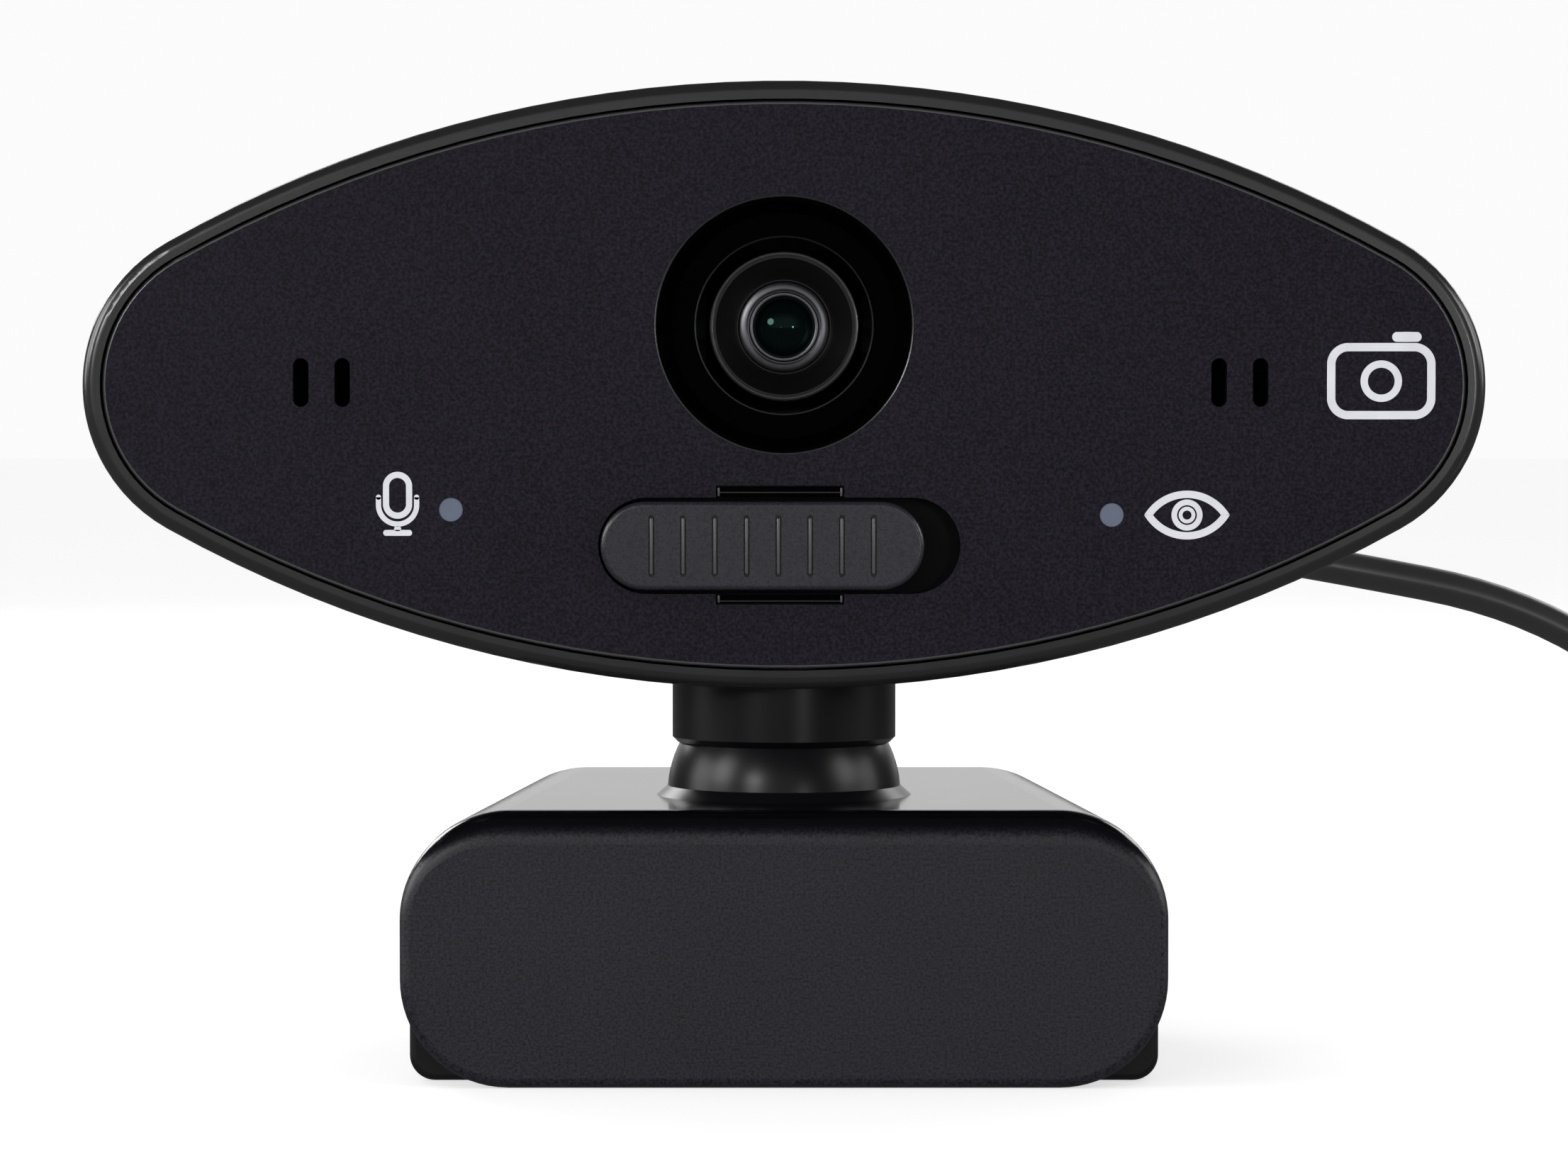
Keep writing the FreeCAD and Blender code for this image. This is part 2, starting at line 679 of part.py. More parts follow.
def make_pivot_stud():
    flange = rod("stud_flange", 5.5, 1.4, 0, 0, "collar_top_z", "Z")
    shank = rod("stud_shank", "stud_radius", "collar_top_z - cup_z", 0, 0, "cup_z", "Z")
    thread = rod("stud_thread", 1.5, "cup_z - nut_z + 0.4", 0, 0, "nut_z - 0.4", "Z")
    return fuse("pivot_stud", flange, shank, thread)


def make_friction_cup():
    crown = ball("cup_ball", "ball_cavity - ball_gap", 0, 0, "plate_z")
    slab = block("cup_slab", (-8, 8), (-8, 8), ("cup_z", "cup_z + 4"))
    bore = rod("cup_bore", "stud_radius + 0.05", 4, 0, 0, "cup_z", "Z")
    return cut("friction_cup", common("cup_crown", crown, slab), bore)


def make_spring_washer():
    return washer("spring_washer", 3.5, 1.6, "cup_z - washer_z", 0, 0, "washer_z", "Z")


def make_stud_nut():
    nut = doc.addObject("Part::Prism", "nut_prism")
    nut.Polygon = 6
    bind(nut, Circumradius=3.175, Height="washer_z - nut_z")
    put(nut, 0, 0, "nut_z")
    return cut("stud_nut", nut, rod("nut_bore", 1.52, "washer_z - nut_z", 0, 0, "nut_z", "Z"))


# ---------------------------------------------------------------- slider and shutter
def make_privacy_slider():
    front = "head_front_y - knob_proud"
    knob = stadium("knob_blank", "knob_middle_x", "slot_z", "knob_length", "knob_height", front,
                   f"carrier_y - ({front})")
    knob = rounded("knob_eased", knob, 0.35, lies_at("Y", value("head_front_y") - value("knob_proud")))
    ribs = value("knob_ribs")
    grooves = []
    for number in range(int(ribs)):
        x = f"knob_middle_x + {number - (ribs - 1) / 2} * rib_pitch"
        grooves.append(upright_stadium(f"knob_groove_{number}", x, "slot_z", 0.44, "knob_height * 0.7", front, 0.35))
    return cut("privacy_slider", knob, *grooves)


def make_slider_carrier():
    layer = ("carrier_y", "carrier_y + carrier_thick")
    overlap = "slot_height / 2 + 0.8"
    plate = block("carrier_plate", ("slot_left - 5.1", "slot_right + 0.8"), layer,
                  (f"slot_z - ({overlap})", f"slot_z + {overlap}"))
    foot = block("carrier_foot", ("slot_left - 8.7", "slot_left - 4"), layer, ("slot_z + 0.4", f"slot_z + {overlap}"))
    arm = block("carrier_arm", ("slot_left - 8.7", "slot_left - 6.5"), layer,
                ("slot_z + 0.4", "pivot_z + lever_up + 1.4"))
    finger = block("carrier_finger", ("slot_left - 8.7", "pivot_x - slide_travel / 2 + 1.3"), layer,
                   ("pivot_z + lever_up - 1.1", "pivot_z + lever_up + 1.4"))
    pin = rod("carrier_pin", "drive_pin_radius", "blade_y + blade_thick + 0.05 - carrier_y",
              "pivot_x - slide_travel / 2", "carrier_y", "pivot_z + lever_up")
    return fuse("slider_carrier", plate, foot, arm, finger, pin)


def shutter_bar(name, angle, start, end, width):
    """Straight bar in the blade's layer, from start to end along a line through the pivot."""
    item = doc.addObject("Part::Box", name)
    bind(item, Length=f"({end}) - ({start})", Width="blade_thick", Height=width)
    item.Placement = Placement(Vector(), Rotation(Vector(0, -1, 0), 30))
    turn = f"{angle} * 1deg"
    item.setExpression("Placement.Rotation.Angle", formula(turn))
    across = f"({width}) / 2"
    item.setExpression("Placement.Base.x", formula(f"pivot_x + ({start}) * cos({turn}) + {across} * sin({turn})"))
    item.setExpression("Placement.Base.y", formula("blade_y"))
    item.setExpression("Placement.Base.z", formula(f"pivot_z + ({start}) * sin({turn}) - {across} * cos({turn})"))
    return item


def shutter_rod(name, angle, reach, radius):
    turn = f"{angle} * 1deg"
    return rod(name, radius, "blade_thick", f"pivot_x + ({reach}) * cos({turn})", "blade_y",
               f"pivot_z + ({reach}) * sin({turn})")


def make_shutter_blade():
    solids = [
        rod("blade_hub", 3, "blade_thick", "pivot_x", "blade_y", "pivot_z"),
        shutter_bar("blade_arm_bar", "blade_angle", 0, "blade_reach", "blade_arm"),
        shutter_rod("blade_disc", "blade_angle", "blade_reach", "blade_radius"),
        shutter_bar("blade_lever", "lever_angle", 0, "lever_up + 1.2", 3.4),
        shutter_rod("blade_lever_end", "lever_angle", "lever_up + 1.2", 1.7),
    ]
    nearest, farthest = "lever_up - 0.12", "lever_up / cos(blade_swing / 2 * 1deg) + 0.12"
    slot_half = "drive_pin_radius + 0.08"
    holes = [
        rod("blade_bore", "pivot_radius + 0.06", "blade_thick", "pivot_x", "blade_y", "pivot_z"),
        shutter_bar("blade_slot", "lever_angle", nearest, farthest, f"2 * ({slot_half})"),
        shutter_rod("blade_slot_near", "lever_angle", nearest, slot_half),
        shutter_rod("blade_slot_far", "lever_angle", farthest, slot_half),
    ]
    return cut("shutter_blade", fuse("blade_solid", *solids), *holes)


def make_shutter_retainer():
    plate = block("retainer_plate", (-23.7, 20.2), ("retainer_y", "retainer_y + retainer_thick"), (34.8, 48.9))
    plate = rounded("retainer_rounded", plate, 1.5, runs_along("Y"))
    holes = [rod(f"retainer_hole_{n}", 0.62, "retainer_thick", x, "retainer_y", z)
             for n, (x, z) in enumerate(RETAINER_POSTS)]
    return cut("shutter_retainer", plate, *holes)


def make_retainer_screws():
    return fuse("retainer_screws", *[
        rear_screw(f"retainer_screw_{n}", 1.2, 0.7, 0.48, 2.4, x, "retainer_y + retainer_thick", z)
        for n, (x, z) in enumerate(RETAINER_POSTS)
    ])


# ---------------------------------------------------------------- turntable
def make_ball_dome():
    crown = common(
        "dome_crown",
        ball("dome_ball", "ball_radius", 0, 0, "plate_z"),
        block("dome_half", (-12, 12), (-12, 12), ("plate_z", "plate_z + 12")),
    )
    foot = cone("dome_foot", "ball_foot", "ball_radius - 0.1", "ball_foot_height", 0, 0, "plate_z", "Z")
    journal = rod("dome_journal", "pan_journal", "plate_thick", 0, 0, "plate_under_z", "Z")
    cavity = common(
        "dome_cavity",
        ball("dome_inner", "ball_cavity", 0, 0, "plate_z"),
        block("dome_inner_half", (-8, 8), (-8, 8), ("plate_z + 0.5", "plate_z + 8")),
    )
    reach = "ball_radius * sin((tilt_limit + 19) * 1deg)"
    slot_half = "stud_radius + 0.12"
    slot = block("dome_slot", (f"-({slot_half})", slot_half), (f"-({reach})", reach), ("plate_z + 3", "plate_z + 12"))
    thread = rod("dome_thread", 1.5, "plate_thick", 0, 0, "plate_under_z - 0.2", "Z")
    return cut("ball_dome", fuse("dome_solid", crown, foot, journal), cavity, slot, thread)


def make_pan_washer():
    return washer("pan_washer", 7, 1.6, 0.9, 0, 0, "plate_under_z - 0.9", "Z")


def make_pan_screw():
    return screw("pan_screw", 2.8, 1.6, 1.48, 4, 0, 0, "plate_under_z - 0.9", "Z")


# ---------------------------------------------------------------- clip
def lip_sketch(body, name, half_width, y):
    """Rounded rectangle of the lip's height, standing on z = 0 at a depth y."""
    sketch = body.newObject("Sketcher::SketchObject", name)
    sketch.AttachmentSupport = [(origin_plane(body, "XZ_Plane"), "")]
    sketch.MapMode = "FlatFace"
    sketch.setExpression("AttachmentOffset.Base.z", formula(f"-({y})"))
    half, high, corner = value(half_width), value("plate_z"), value("lip_corner")
    flat = half - corner
    points = [(-flat, 0), (flat, 0), (half, corner), (half, high - corner), (flat, high), (-flat, high),
              (-half, high - corner), (-half, corner)]
    for start, end in ((0, 1), (2, 3), (4, 5), (6, 7)):
        ends = [Vector(*points[n], 0) for n in (start, end)]
        sketch.addGeometry(Part.LineSegment(*ends), False)
    centres = [(flat, corner, -90), (flat, high - corner, 0), (-flat, high - corner, 90), (-flat, corner, 180)]
    for x, z, start in centres:
        circle = Part.Circle(Vector(x, z, 0), Vector(0, 0, 1), corner)
        sketch.addGeometry(Part.ArcOfCircle(circle, math.radians(start), math.radians(start + 90)), False)
    limit = Sketcher.Constraint
    for line in range(4):
        sketch.addConstraint(limit("Tangent", line, 2, 4 + line, 1))
        sketch.addConstraint(limit("Tangent", 4 + line, 2, (line + 1) % 4, 1))
    sketch.addConstraint([
        limit("Vertical", 1),
        limit("Horizontal", 2),
        limit("Vertical", 3),
        limit("Equal", 4, 5),
        limit("Equal", 4, 6),
        limit("Equal", 4, 7),
        limit("Symmetric", 0, 1, 0, 2, -2),
        limit("PointOnObject", 0, 1, -1),
    ])
    sizes = {
        "lip_corner": limit("Radius", 4, corner),
        f"2 * {half_width}": limit("DistanceX", 3, 1, 1, 1, 2 * half),
        "plate_z": limit("DistanceY", 0, 1, 2, 1, high),
    }
    for words, size_limit in sizes.items():
        number = sketch.addConstraint(size_limit)
        sketch.setExpression(f"Constraints[{number}]", formula(words))
    return sketch


def lip_body(name, sections, length=None):
    """Body from the lip's outline: a prism of one section, or a loft through two."""
    body = doc.addObject("PartDesign::Body", name)
    sketches = [lip_sketch(body, f"{name}_{n}", half_width, y) for n, (half_width, y) in enumerate(sections)]
    if length:
        pad = body.newObject("PartDesign::Pad", name + "_pad")
        pad.Profile = sketches[0]
        pad.Reversed = True
        pad.setExpression("Length", formula(length))
    else:
        loft = body.newObject("PartDesign::AdditiveLoft", name + "_loft")
        loft.Profile = sketches[0]
        loft.Sections = sketches[1:]
        loft.Ruled = True
    doc.recompute()
    return body


def ease_lip(lip):
    """Round the lip's front edge, more along its top than at its sides and foot."""
    front, top, side = value("lip_front_y"), value("lip_top_round"), value("lip_round")
    item = doc.addObject("Part::Fillet", "lip_eased")
    item.Base = lip
    edges = []
    for number, edge in enumerate(lip.Shape.Edges, start=1):
        if not lies_at("Y", front)(edge):
            continue
        ends = [top if edge.valueAt(place).z > value("plate_z") - 0.01 else side for place in edge.ParameterRange]
        edges.append((number, *ends))
    item.Edges = edges
    return item


def make_clip_bracket():
    lip = ease_lip(lip_body("lip_blank", [("lip_half_width", "lip_front_y")], "lip_thick"))
    body = lip_body("plate_blank", [("lip_half_width", "lip_back_y"), ("plate_back_half", "plate_back_y")])
    under = block("bracket_under", (-40, 40), ("lip_back_y", "plate_back_y + 5"), (-1, "plate_under_z"))
    tools = [under]
    for side, sign in {"right": "", "left": "-"}.items():
        x, y = f"{sign}back_round_x", "plate_back_y - plate_back_round"
        far = ("back_round_x", "back_round_x + 12") if side == "right" else ("-back_round_x - 12", "-back_round_x")
        corner = block(f"bracket_corner_{side}", far, (y, "plate_back_y + 1"), ("plate_under_z - 1", "plate_z + 1"))
        keep = rod(f"bracket_keep_{side}", "plate_back_round", "plate_thick + 4", x, y, "plate_under_z - 2", "Z")
        tools.append(cut(f"bracket_corner_cut_{side}", corner, keep))
    plate = fuse("bracket_plate", lip, cut("plate_trimmed", body, *tools))
    ears = []
    for side, span in {"right": ("ear_inner_x", "ear_outer_x"), "left": ("-ear_outer_x", "-ear_inner_x")}.items():
        length = "ear_outer_x - ear_inner_x"
        ears.append(rod(f"bracket_ear_{side}", "ear_radius", length, span[0], "hinge_y", "hinge_z", "X"))
        ears.append(block(f"bracket_web_{side}", span, ("hinge_y - ear_radius", "hinge_y + ear_radius"),
                          ("hinge_z", "plate_under_z")))
    holes = [
        rod("bracket_pin_hole", "hinge_pin_radius", "2 * ear_outer_x", "-ear_outer_x", "hinge_y", "hinge_z", "X"),
        rod("bracket_pan_hole", "pan_journal + 0.05", 8, 0, 0, "plate_under_z - 1", "Z"),
    ]
    return cut("clip_bracket", fuse("bracket_with_ears", plate, *ears), *holes)


def make_lip_pad():
    pad = block("lip_pad_block", (-20, 20), ("lip_back_y", "lip_back_y + pad_thick"), (4, 13))
    return rounded("lip_pad", pad, 2, runs_along("Y"))


def make_plate_pads():
    pads = []
    for side, span in {"right": (10, 21), "left": (-21, -10)}.items():
        pad = block(f"plate_pad_{side}_block", span, ("lip_back_y + 3", 18), ("plate_under_z - pad_thick", "plate_under_z"))
        pads.append(rounded(f"plate_pad_{side}", pad, 2, runs_along("Z")))
    return fuse("plate_pads", *pads)


def make_hinge_pin():
    pin = rod("hinge_pin_blank", "hinge_pin_radius", "2 * ear_outer_x", "-ear_outer_x", "hinge_y", "hinge_z", "X")
    ends = (value("ear_outer_x"), -value("ear_outer_x"))
    return rounded("hinge_pin", pin, 0.3, lambda edge: any(lies_at("X", end)(edge) for end in ends), "Part::Chamfer")


def make_hinge_washers():
    width = "ear_inner_x - knuckle_half - 0.1"
    return fuse(
        "hinge_washers",
        washer("hinge_washer_right", 3.3, "hinge_pin_radius", width, "knuckle_half + 0.1", "hinge_y", "hinge_z", "X"),
        washer("hinge_washer_left", 3.3, "hinge_pin_radius", width, "-ear_inner_x", "hinge_y", "hinge_z", "X"),
    )


# ---------------------------------------------------------------- folding leg
REAR_FEET = ((-19, 15), (19, 15))


def make_folding_leg():
    sides = ("-leg_half_width", "leg_half_width")
    plate = block("leg_plate", sides, ("toe_back_y", "leg_back_y"), ("leg_bottom_z", "leg_top_z"))
    plate = rounded("leg_plate_corners", plate, 2.5,
                    lambda edge: runs_along("Z")(edge) and edge.BoundBox.YMin > 0)
    plate = rounded("leg_plate_eased", plate, 0.6, lies_at("Z", value("leg_bottom_z")))
    tongue = block("leg_tongue", sides, ("tongue_front_y", "toe_back_y"), ("leg_bottom_z", "tongue_top_z"))
    knuckle = rod("leg_knuckle", "knuckle_radius", "2 * knuckle_half", "-knuckle_half", "hinge_y", "hinge_z", "X")
    bridge = block("leg_bridge", ("-knuckle_half", "knuckle_half"), ("leg_back_y - 3", "hinge_y"),
                   ("hinge_z - knuckle_radius", "hinge_z"))
    boss = rod("leg_boss", "boss_radius", "leg_bottom_z + 1", 0, 0, 0, "Z")
    pockets = [block(f"leg_pocket_{side}", span, (-3, 16), ("leg_top_z - 2.5", "leg_top_z"))
               for side, span in {"right": (9, 23), "left": (-23, -9)}.items()]
    holes = [
        rod("leg_pin_hole", "hinge_pin_radius + 0.05", "2 * knuckle_half", "-knuckle_half", "hinge_y", "hinge_z", "X"),
        rod("leg_insert_hole", "insert_radius", "insert_length", 0, 0, 0, "Z"),
    ]
    holes += [rod(f"leg_foot_seat_{n}", 3.5, 0.6, x, y, "leg_bottom_z", "Z") for n, (x, y) in enumerate(REAR_FEET)]
    return cut("folding_leg", fuse("leg_solid", plate, tongue, knuckle, bridge, boss), *holes, *pockets)


def make_toe_foot():
    bar = block("toe_bar", ("-toe_half_width", "toe_half_width"), ("toe_front_y", "toe_back_y"), (0, "toe_height"))
    bar = rounded("toe_corners", bar, value("toe_corner"), runs_along("Y"))
    bar = rounded("toe_eased", bar, 0.5, lies_at("Y", value("toe_front_y")))
    slot = block("toe_slot", ("-leg_half_width", "leg_half_width"), ("tongue_front_y", "toe_back_y"),
                 ("leg_bottom_z", "tongue_top_z"))
    return cut("toe_foot", bar, slot)


def make_rear_feet():
    feet = []
    for number, (x, y) in enumerate(REAR_FEET):
        foot = rod(f"rear_foot_blank_{number}", 3.5, "leg_bottom_z + 0.6", x, y, 0, "Z")
        feet.append(rounded(f"rear_foot_{number}", foot, 0.5, lies_at("Z", 0)))
    return fuse("rear_feet", *feet)


def make_tripod_insert():
    return washer("tripod_insert", "insert_radius", "thread_radius", "insert_length", 0, 0, 0, "Z")


# ---------------------------------------------------------------- cable
LEAD_ROUTE = [
    (20.5, 24.0, 43.5),
    (20.5, 33.0, 43.5),
    (25.3, 41.8, 42.2),
    (35.5, 46.8, 40.0),
    (49.5, 48.0, 37.8),
    (64.0, 47.5, 35.0),
    (75.0, 47.0, 29.0),
    (81.5, 46.4, 19.5),
    (86.0, 46.0, 9.8),
    (93.0, 45.4, 4.4),
    (102.0, 45.05, 2.1),
]
TAIL_ROUTE = [
    (127.05, 19.0, 11.2),
    (127.3, 11.5, 9.9),
    (127.8, 4.5, 6.0),
    (128.0, -2.5, 3.5),
    (128.0, -9.0, 3.5),
]


def cable_path(points):
    """Straight runs joined by tangent arcs, each arc as large as its two runs allow."""
    points = [Vector(*point) for point in points]
    edges, start = [], points[0]
    for before, corner, after in zip(points, points[1:], points[2:]):
        way_in, way_out = corner - before, after - corner
        turn = way_in.getAngle(way_out)
        reach = 0.45 * min(way_in.Length, way_out.Length)
        radius = reach / math.tan(turn / 2)
        print(f"cable turn {math.degrees(turn):.0f} deg, radius {radius:.1f} mm")
        way_in.normalize()
        way_out.normalize()
        arc_start, arc_end = corner - way_in * reach, corner + way_out * reach
        inward = (way_out - way_in).normalize()
        centre = corner + inward * math.hypot(radius, reach)
        arc_middle = centre - inward * radius
        edges.append(Part.LineSegment(start, arc_start).toShape())
        edges.append(Part.Arc(arc_start, arc_middle, arc_end).toShape())
        start = arc_end
    edges.append(Part.LineSegment(start, points[-1]).toShape())
    return Part.Wire(edges)


def make_tube(name, points):
    radius = value("cable_radius")
    path = cable_path(points)
    along = Vector(*points[1]) - Vector(*points[0])
    section = Part.Wire(Part.Circle(Vector(*points[0]), along, radius).toShape())
    item = doc.addObject("Part::Feature", name)
    item.Shape = path.makePipeShell([section], True, False)
    item.Placement = Placement()
    expected = math.pi * radius ** 2 * path.Length
    print(f"{name}: length {path.Length:.1f} mm, volume over section x length {item.Shape.Volume / expected:.4f}")
    return item


def coil_ring(name, spare=0):
    """Outer shape of the tied turns, with some spare room where it is a hollow."""
    return washer(name, f"coil_mean_radius + coil_half_width + {spare}",
                  f"coil_mean_radius - coil_half_width - {spare}", "coil_height", "coil_x", "coil_y", "coil_bed", "Z")


def make_cable_tie():
    strap = block("tie_block", middle("coil_x", 7),
                  ("coil_y - coil_mean_radius - coil_half_width - coil_bed",
                   "coil_y - coil_mean_radius + coil_half_width + coil_bed"),
                  (0, "coil_height + 2 * coil_bed"))
    return cut("cable_tie", strap, coil_ring("tie_room", 0.05))


def make_strain_relief():
    wall_out = "head_back_y"
    tip = cone("relief_tip", "cable_radius + 1.7", "cable_radius + 0.7", f"relief_end_y - {wall_out}",
               "relief_x", wall_out, "relief_z")
    neck = rod("relief_neck", "cable_radius + 1.08", "shell_wall + 0.4", "relief_x",
               f"{wall_out} - shell_wall - 0.4", "relief_z")
    flange = rod("relief_flange", 4, 1.4, "relief_x", f"{wall_out} - shell_wall - 1.4", "relief_z")
    rings = [
        washer(f"relief_groove_{n}", "cable_radius + 2", "cable_radius + 0.4", 0.9, "relief_x",
               f"{wall_out} + {2 + 2 * n}", "relief_z")
        for n in range(4)
    ]
    return cut("strain_relief", fuse("relief_solid", tip, neck, flange), *rings)


def make_plug_overmould():
    grip = block("plug_grip", middle("plug_x", "plug_width"), ("plug_y - plug_length", "plug_y - 4"),
                 (0, "plug_height"))
    grip = rounded("plug_grip_eased", grip, 1.6, runs_along("Y"))
    neck = cone("plug_neck", 3.2, 2.1, 4.5, "plug_x", "plug_y - 4.5", "plug_height / 2")
    return fuse("plug_overmould", grip, neck)


def make_plug_shell():
    front, back = "plug_y - plug_length - usb_length", "plug_y - plug_length"
    outside = block("plug_shell_outside", middle("plug_x", "usb_width"), (front, back),
                    middle("plug_height / 2", "usb_height"))
    room = block("plug_shell_room", middle("plug_x", "usb_width - 2 * usb_wall"),
                 (front, f"{back} - usb_wall"), middle("plug_height / 2", "usb_height - 2 * usb_wall"))
    return cut("plug_shell", outside, room)


def make_plug_tongue():
    front, back = "plug_y - plug_length - usb_length", "plug_y - plug_length"
    return block("plug_tongue", middle("plug_x", "usb_width - 3 * usb_wall"),
                 (f"{front} + 2 * usb_wall", f"{back} - usb_wall"),
                 ("plug_height / 2 + 0.05", "plug_height / 2 + 0.05 + tongue_thick"))


# ---------------------------------------------------------------- the whole webcam
PARTS = [
    make_rear_housing(),
    make_front_cover(),
    make_case_screws(),
    make_lens_well(),
    make_lens_barrel(),
    make_retaining_ring(),
    make_front_lens(),
    make_inner_lenses(),
    make_lens_spacers(),
    make_lens_holder(),
    make_ir_filter(),
    make_image_sensor(),
    make_main_board(),
    make_board_screws(),
    make_holder_screws(),
    board_part("image_processor", "-12", "head_z", 9, 9, 1),
    board_part("memory_chip", "2", "head_z + 10", 6, 5, 0.9),
    board_part("clock_crystal", "-12", "head_z - 8", 5, 3.2, 0.9),
    board_part("voltage_regulator", "16", "head_z + 5", 3.5, 6.5, 1.5),
    make_cable_header(),
    make_status_leds(),
    make_light_pipes(),
    make_microphones(),
    make_microphone_boots(),
    make_microphone_boards(),
    make_neck_collar(),
    make_pivot_stud(),
    make_friction_cup(),
    make_spring_washer(),
    make_stud_nut(),
    make_privacy_slider(),
    make_slider_carrier(),
    make_shutter_blade(),
    make_shutter_retainer(),
    make_retainer_screws(),
    make_ball_dome(),
    make_pan_washer(),
    make_pan_screw(),
    make_clip_bracket(),
    make_lip_pad(),
    make_plate_pads(),
    make_hinge_pin(),
    make_hinge_washers(),
    make_folding_leg(),
    make_toe_foot(),
    make_rear_feet(),
    make_tripod_insert(),
    make_strain_relief(),
    make_tube("cable_lead", LEAD_ROUTE),
    coil_ring("cable_coil"),
    make_tube("cable_tail", TAIL_ROUTE),
    make_cable_tie(),
    make_plug_overmould(),
    make_plug_shell(),
    make_plug_tongue(),
]
doc.recompute()

faults = [item.Name for item in doc.Objects if {"Invalid", "Error"} & set(item.State)]
faults += [part.Name for part in PARTS if part.Shape.isNull() or not part.Shape.isValid() or not part.Shape.Solids]
if faults:
    raise RuntimeError("failed objects: " + ", ".join(faults))

os.makedirs("parts", exist_ok=True)
for part in PARTS:
    part.Shape.exportStep(f"parts/{part.Label}.step")
print(len(PARTS), "sub-parts written")
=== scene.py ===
"""Looks of a webcam: oval head with a lens and a privacy slider, ball neck, folded clip and USB cable.

Metres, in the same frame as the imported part: the lens looks along -Y, +X is right, +Z is up.
"""
import json
import math

import bpy
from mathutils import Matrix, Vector


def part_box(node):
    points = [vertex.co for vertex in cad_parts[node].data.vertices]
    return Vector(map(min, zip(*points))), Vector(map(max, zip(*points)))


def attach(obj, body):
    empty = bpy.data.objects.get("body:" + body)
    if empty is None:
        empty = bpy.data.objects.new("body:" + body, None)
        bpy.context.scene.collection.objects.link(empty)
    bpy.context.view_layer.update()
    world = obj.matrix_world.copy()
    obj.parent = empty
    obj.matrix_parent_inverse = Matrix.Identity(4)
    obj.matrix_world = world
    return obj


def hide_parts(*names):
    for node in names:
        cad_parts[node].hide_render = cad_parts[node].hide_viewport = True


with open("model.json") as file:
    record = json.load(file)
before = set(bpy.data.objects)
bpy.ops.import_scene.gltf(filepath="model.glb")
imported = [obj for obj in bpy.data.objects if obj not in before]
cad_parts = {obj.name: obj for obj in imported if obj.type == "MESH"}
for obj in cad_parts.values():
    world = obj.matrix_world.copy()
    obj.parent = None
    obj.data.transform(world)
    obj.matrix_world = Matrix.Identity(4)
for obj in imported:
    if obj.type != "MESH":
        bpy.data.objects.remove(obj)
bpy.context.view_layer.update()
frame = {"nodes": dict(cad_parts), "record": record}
nodes = frame["nodes"]
MM = 0.001


# ---------------------------------------------------------------- places taken from the frame
def centre(node):
    low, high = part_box(node)
    return (low + high) / 2


FACE_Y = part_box("front_cover")[0].y
LENS = centre("lens_barrel")


# ---------------------------------------------------------------- camera
# The camera stands level with the lens's lower edge, about 350 mm off, and looks slightly down.
CAMERA_OFF = 0.350
CAMERA_Z = 0.0474
CAMERA_PITCH = math.radians(1.76)
VIEW_WIDTH = 0.1172
SENSOR = 36


def make_camera():
    data = bpy.data.cameras.new("camera")
    data.sensor_width = SENSOR
    data.lens = SENSOR * CAMERA_OFF / VIEW_WIDTH
    data.clip_start = 0.01
    camera = bpy.data.objects.new("camera", data)
    camera.location = (0, FACE_Y - CAMERA_OFF, CAMERA_Z)
    camera.rotation_euler = (math.pi / 2 - CAMERA_PITCH, 0, 0)
    bpy.context.scene.collection.objects.link(camera)
    bpy.context.scene.camera = camera


make_camera()


# ---------------------------------------------------------------- shader helpers
class Value:
    """A socket that arithmetic acts on by adding Math nodes."""

    def __init__(self, shader, socket):
        self.shader, self.socket = shader, socket

    def _math(self, operation, *values):
        return self.shader.node("ShaderNodeMath", {"operation": operation}, dict(enumerate(values)))

    def __add__(self, other):
        return self._math("ADD", self, other)

    def __radd__(self, other):
        return self._math("ADD", other, self)

    def __sub__(self, other):
        return self._math("SUBTRACT", self, other)

    def __rsub__(self, other):
        return self._math("SUBTRACT", other, self)

    def __mul__(self, other):
        return self._math("MULTIPLY", self, other)

    def __rmul__(self, other):
        return self._math("MULTIPLY", other, self)

    def above(self, edge, soft):
        """0 under the edge and 1 over it, with a soft step."""
        return self.shader.node("ShaderNodeMapRange", {"interpolation_type": "SMOOTHSTEP"},
                                {"Value": self, "From Min": edge - soft, "From Max": edge + soft})


class Graph:
    """A node tree, with one method that adds any node."""

    def __init__(self, tree):
        self.tree = tree

    def node(self, kind, settings=None, inputs=None, output=0):
        """Add a node: its settings first, then the values or links of its sockets, by name or number."""
        made = self.tree.nodes.new(kind)
        for key, setting in (settings or {}).items():
            setattr(made, key, setting)
        for key, given in (inputs or {}).items():
            self.feed(made.inputs[key], given)
        return Value(self, made.outputs[output])

    def feed(self, socket, given):
        if isinstance(given, Value):
            self.tree.links.new(given.socket, socket)
        else:
            socket.default_value = given

    def along(self, axis, where):
        """One coordinate of a vector."""
        return self.node("ShaderNodeSeparateXYZ", inputs={0: where}, output=axis)

    def mix(self, factor, first, second):
        """Colour between two colours."""
        return self.node("ShaderNodeMix", {"data_type": "RGBA"}, {"Factor": factor, 6: first, 7: second}, output=2)


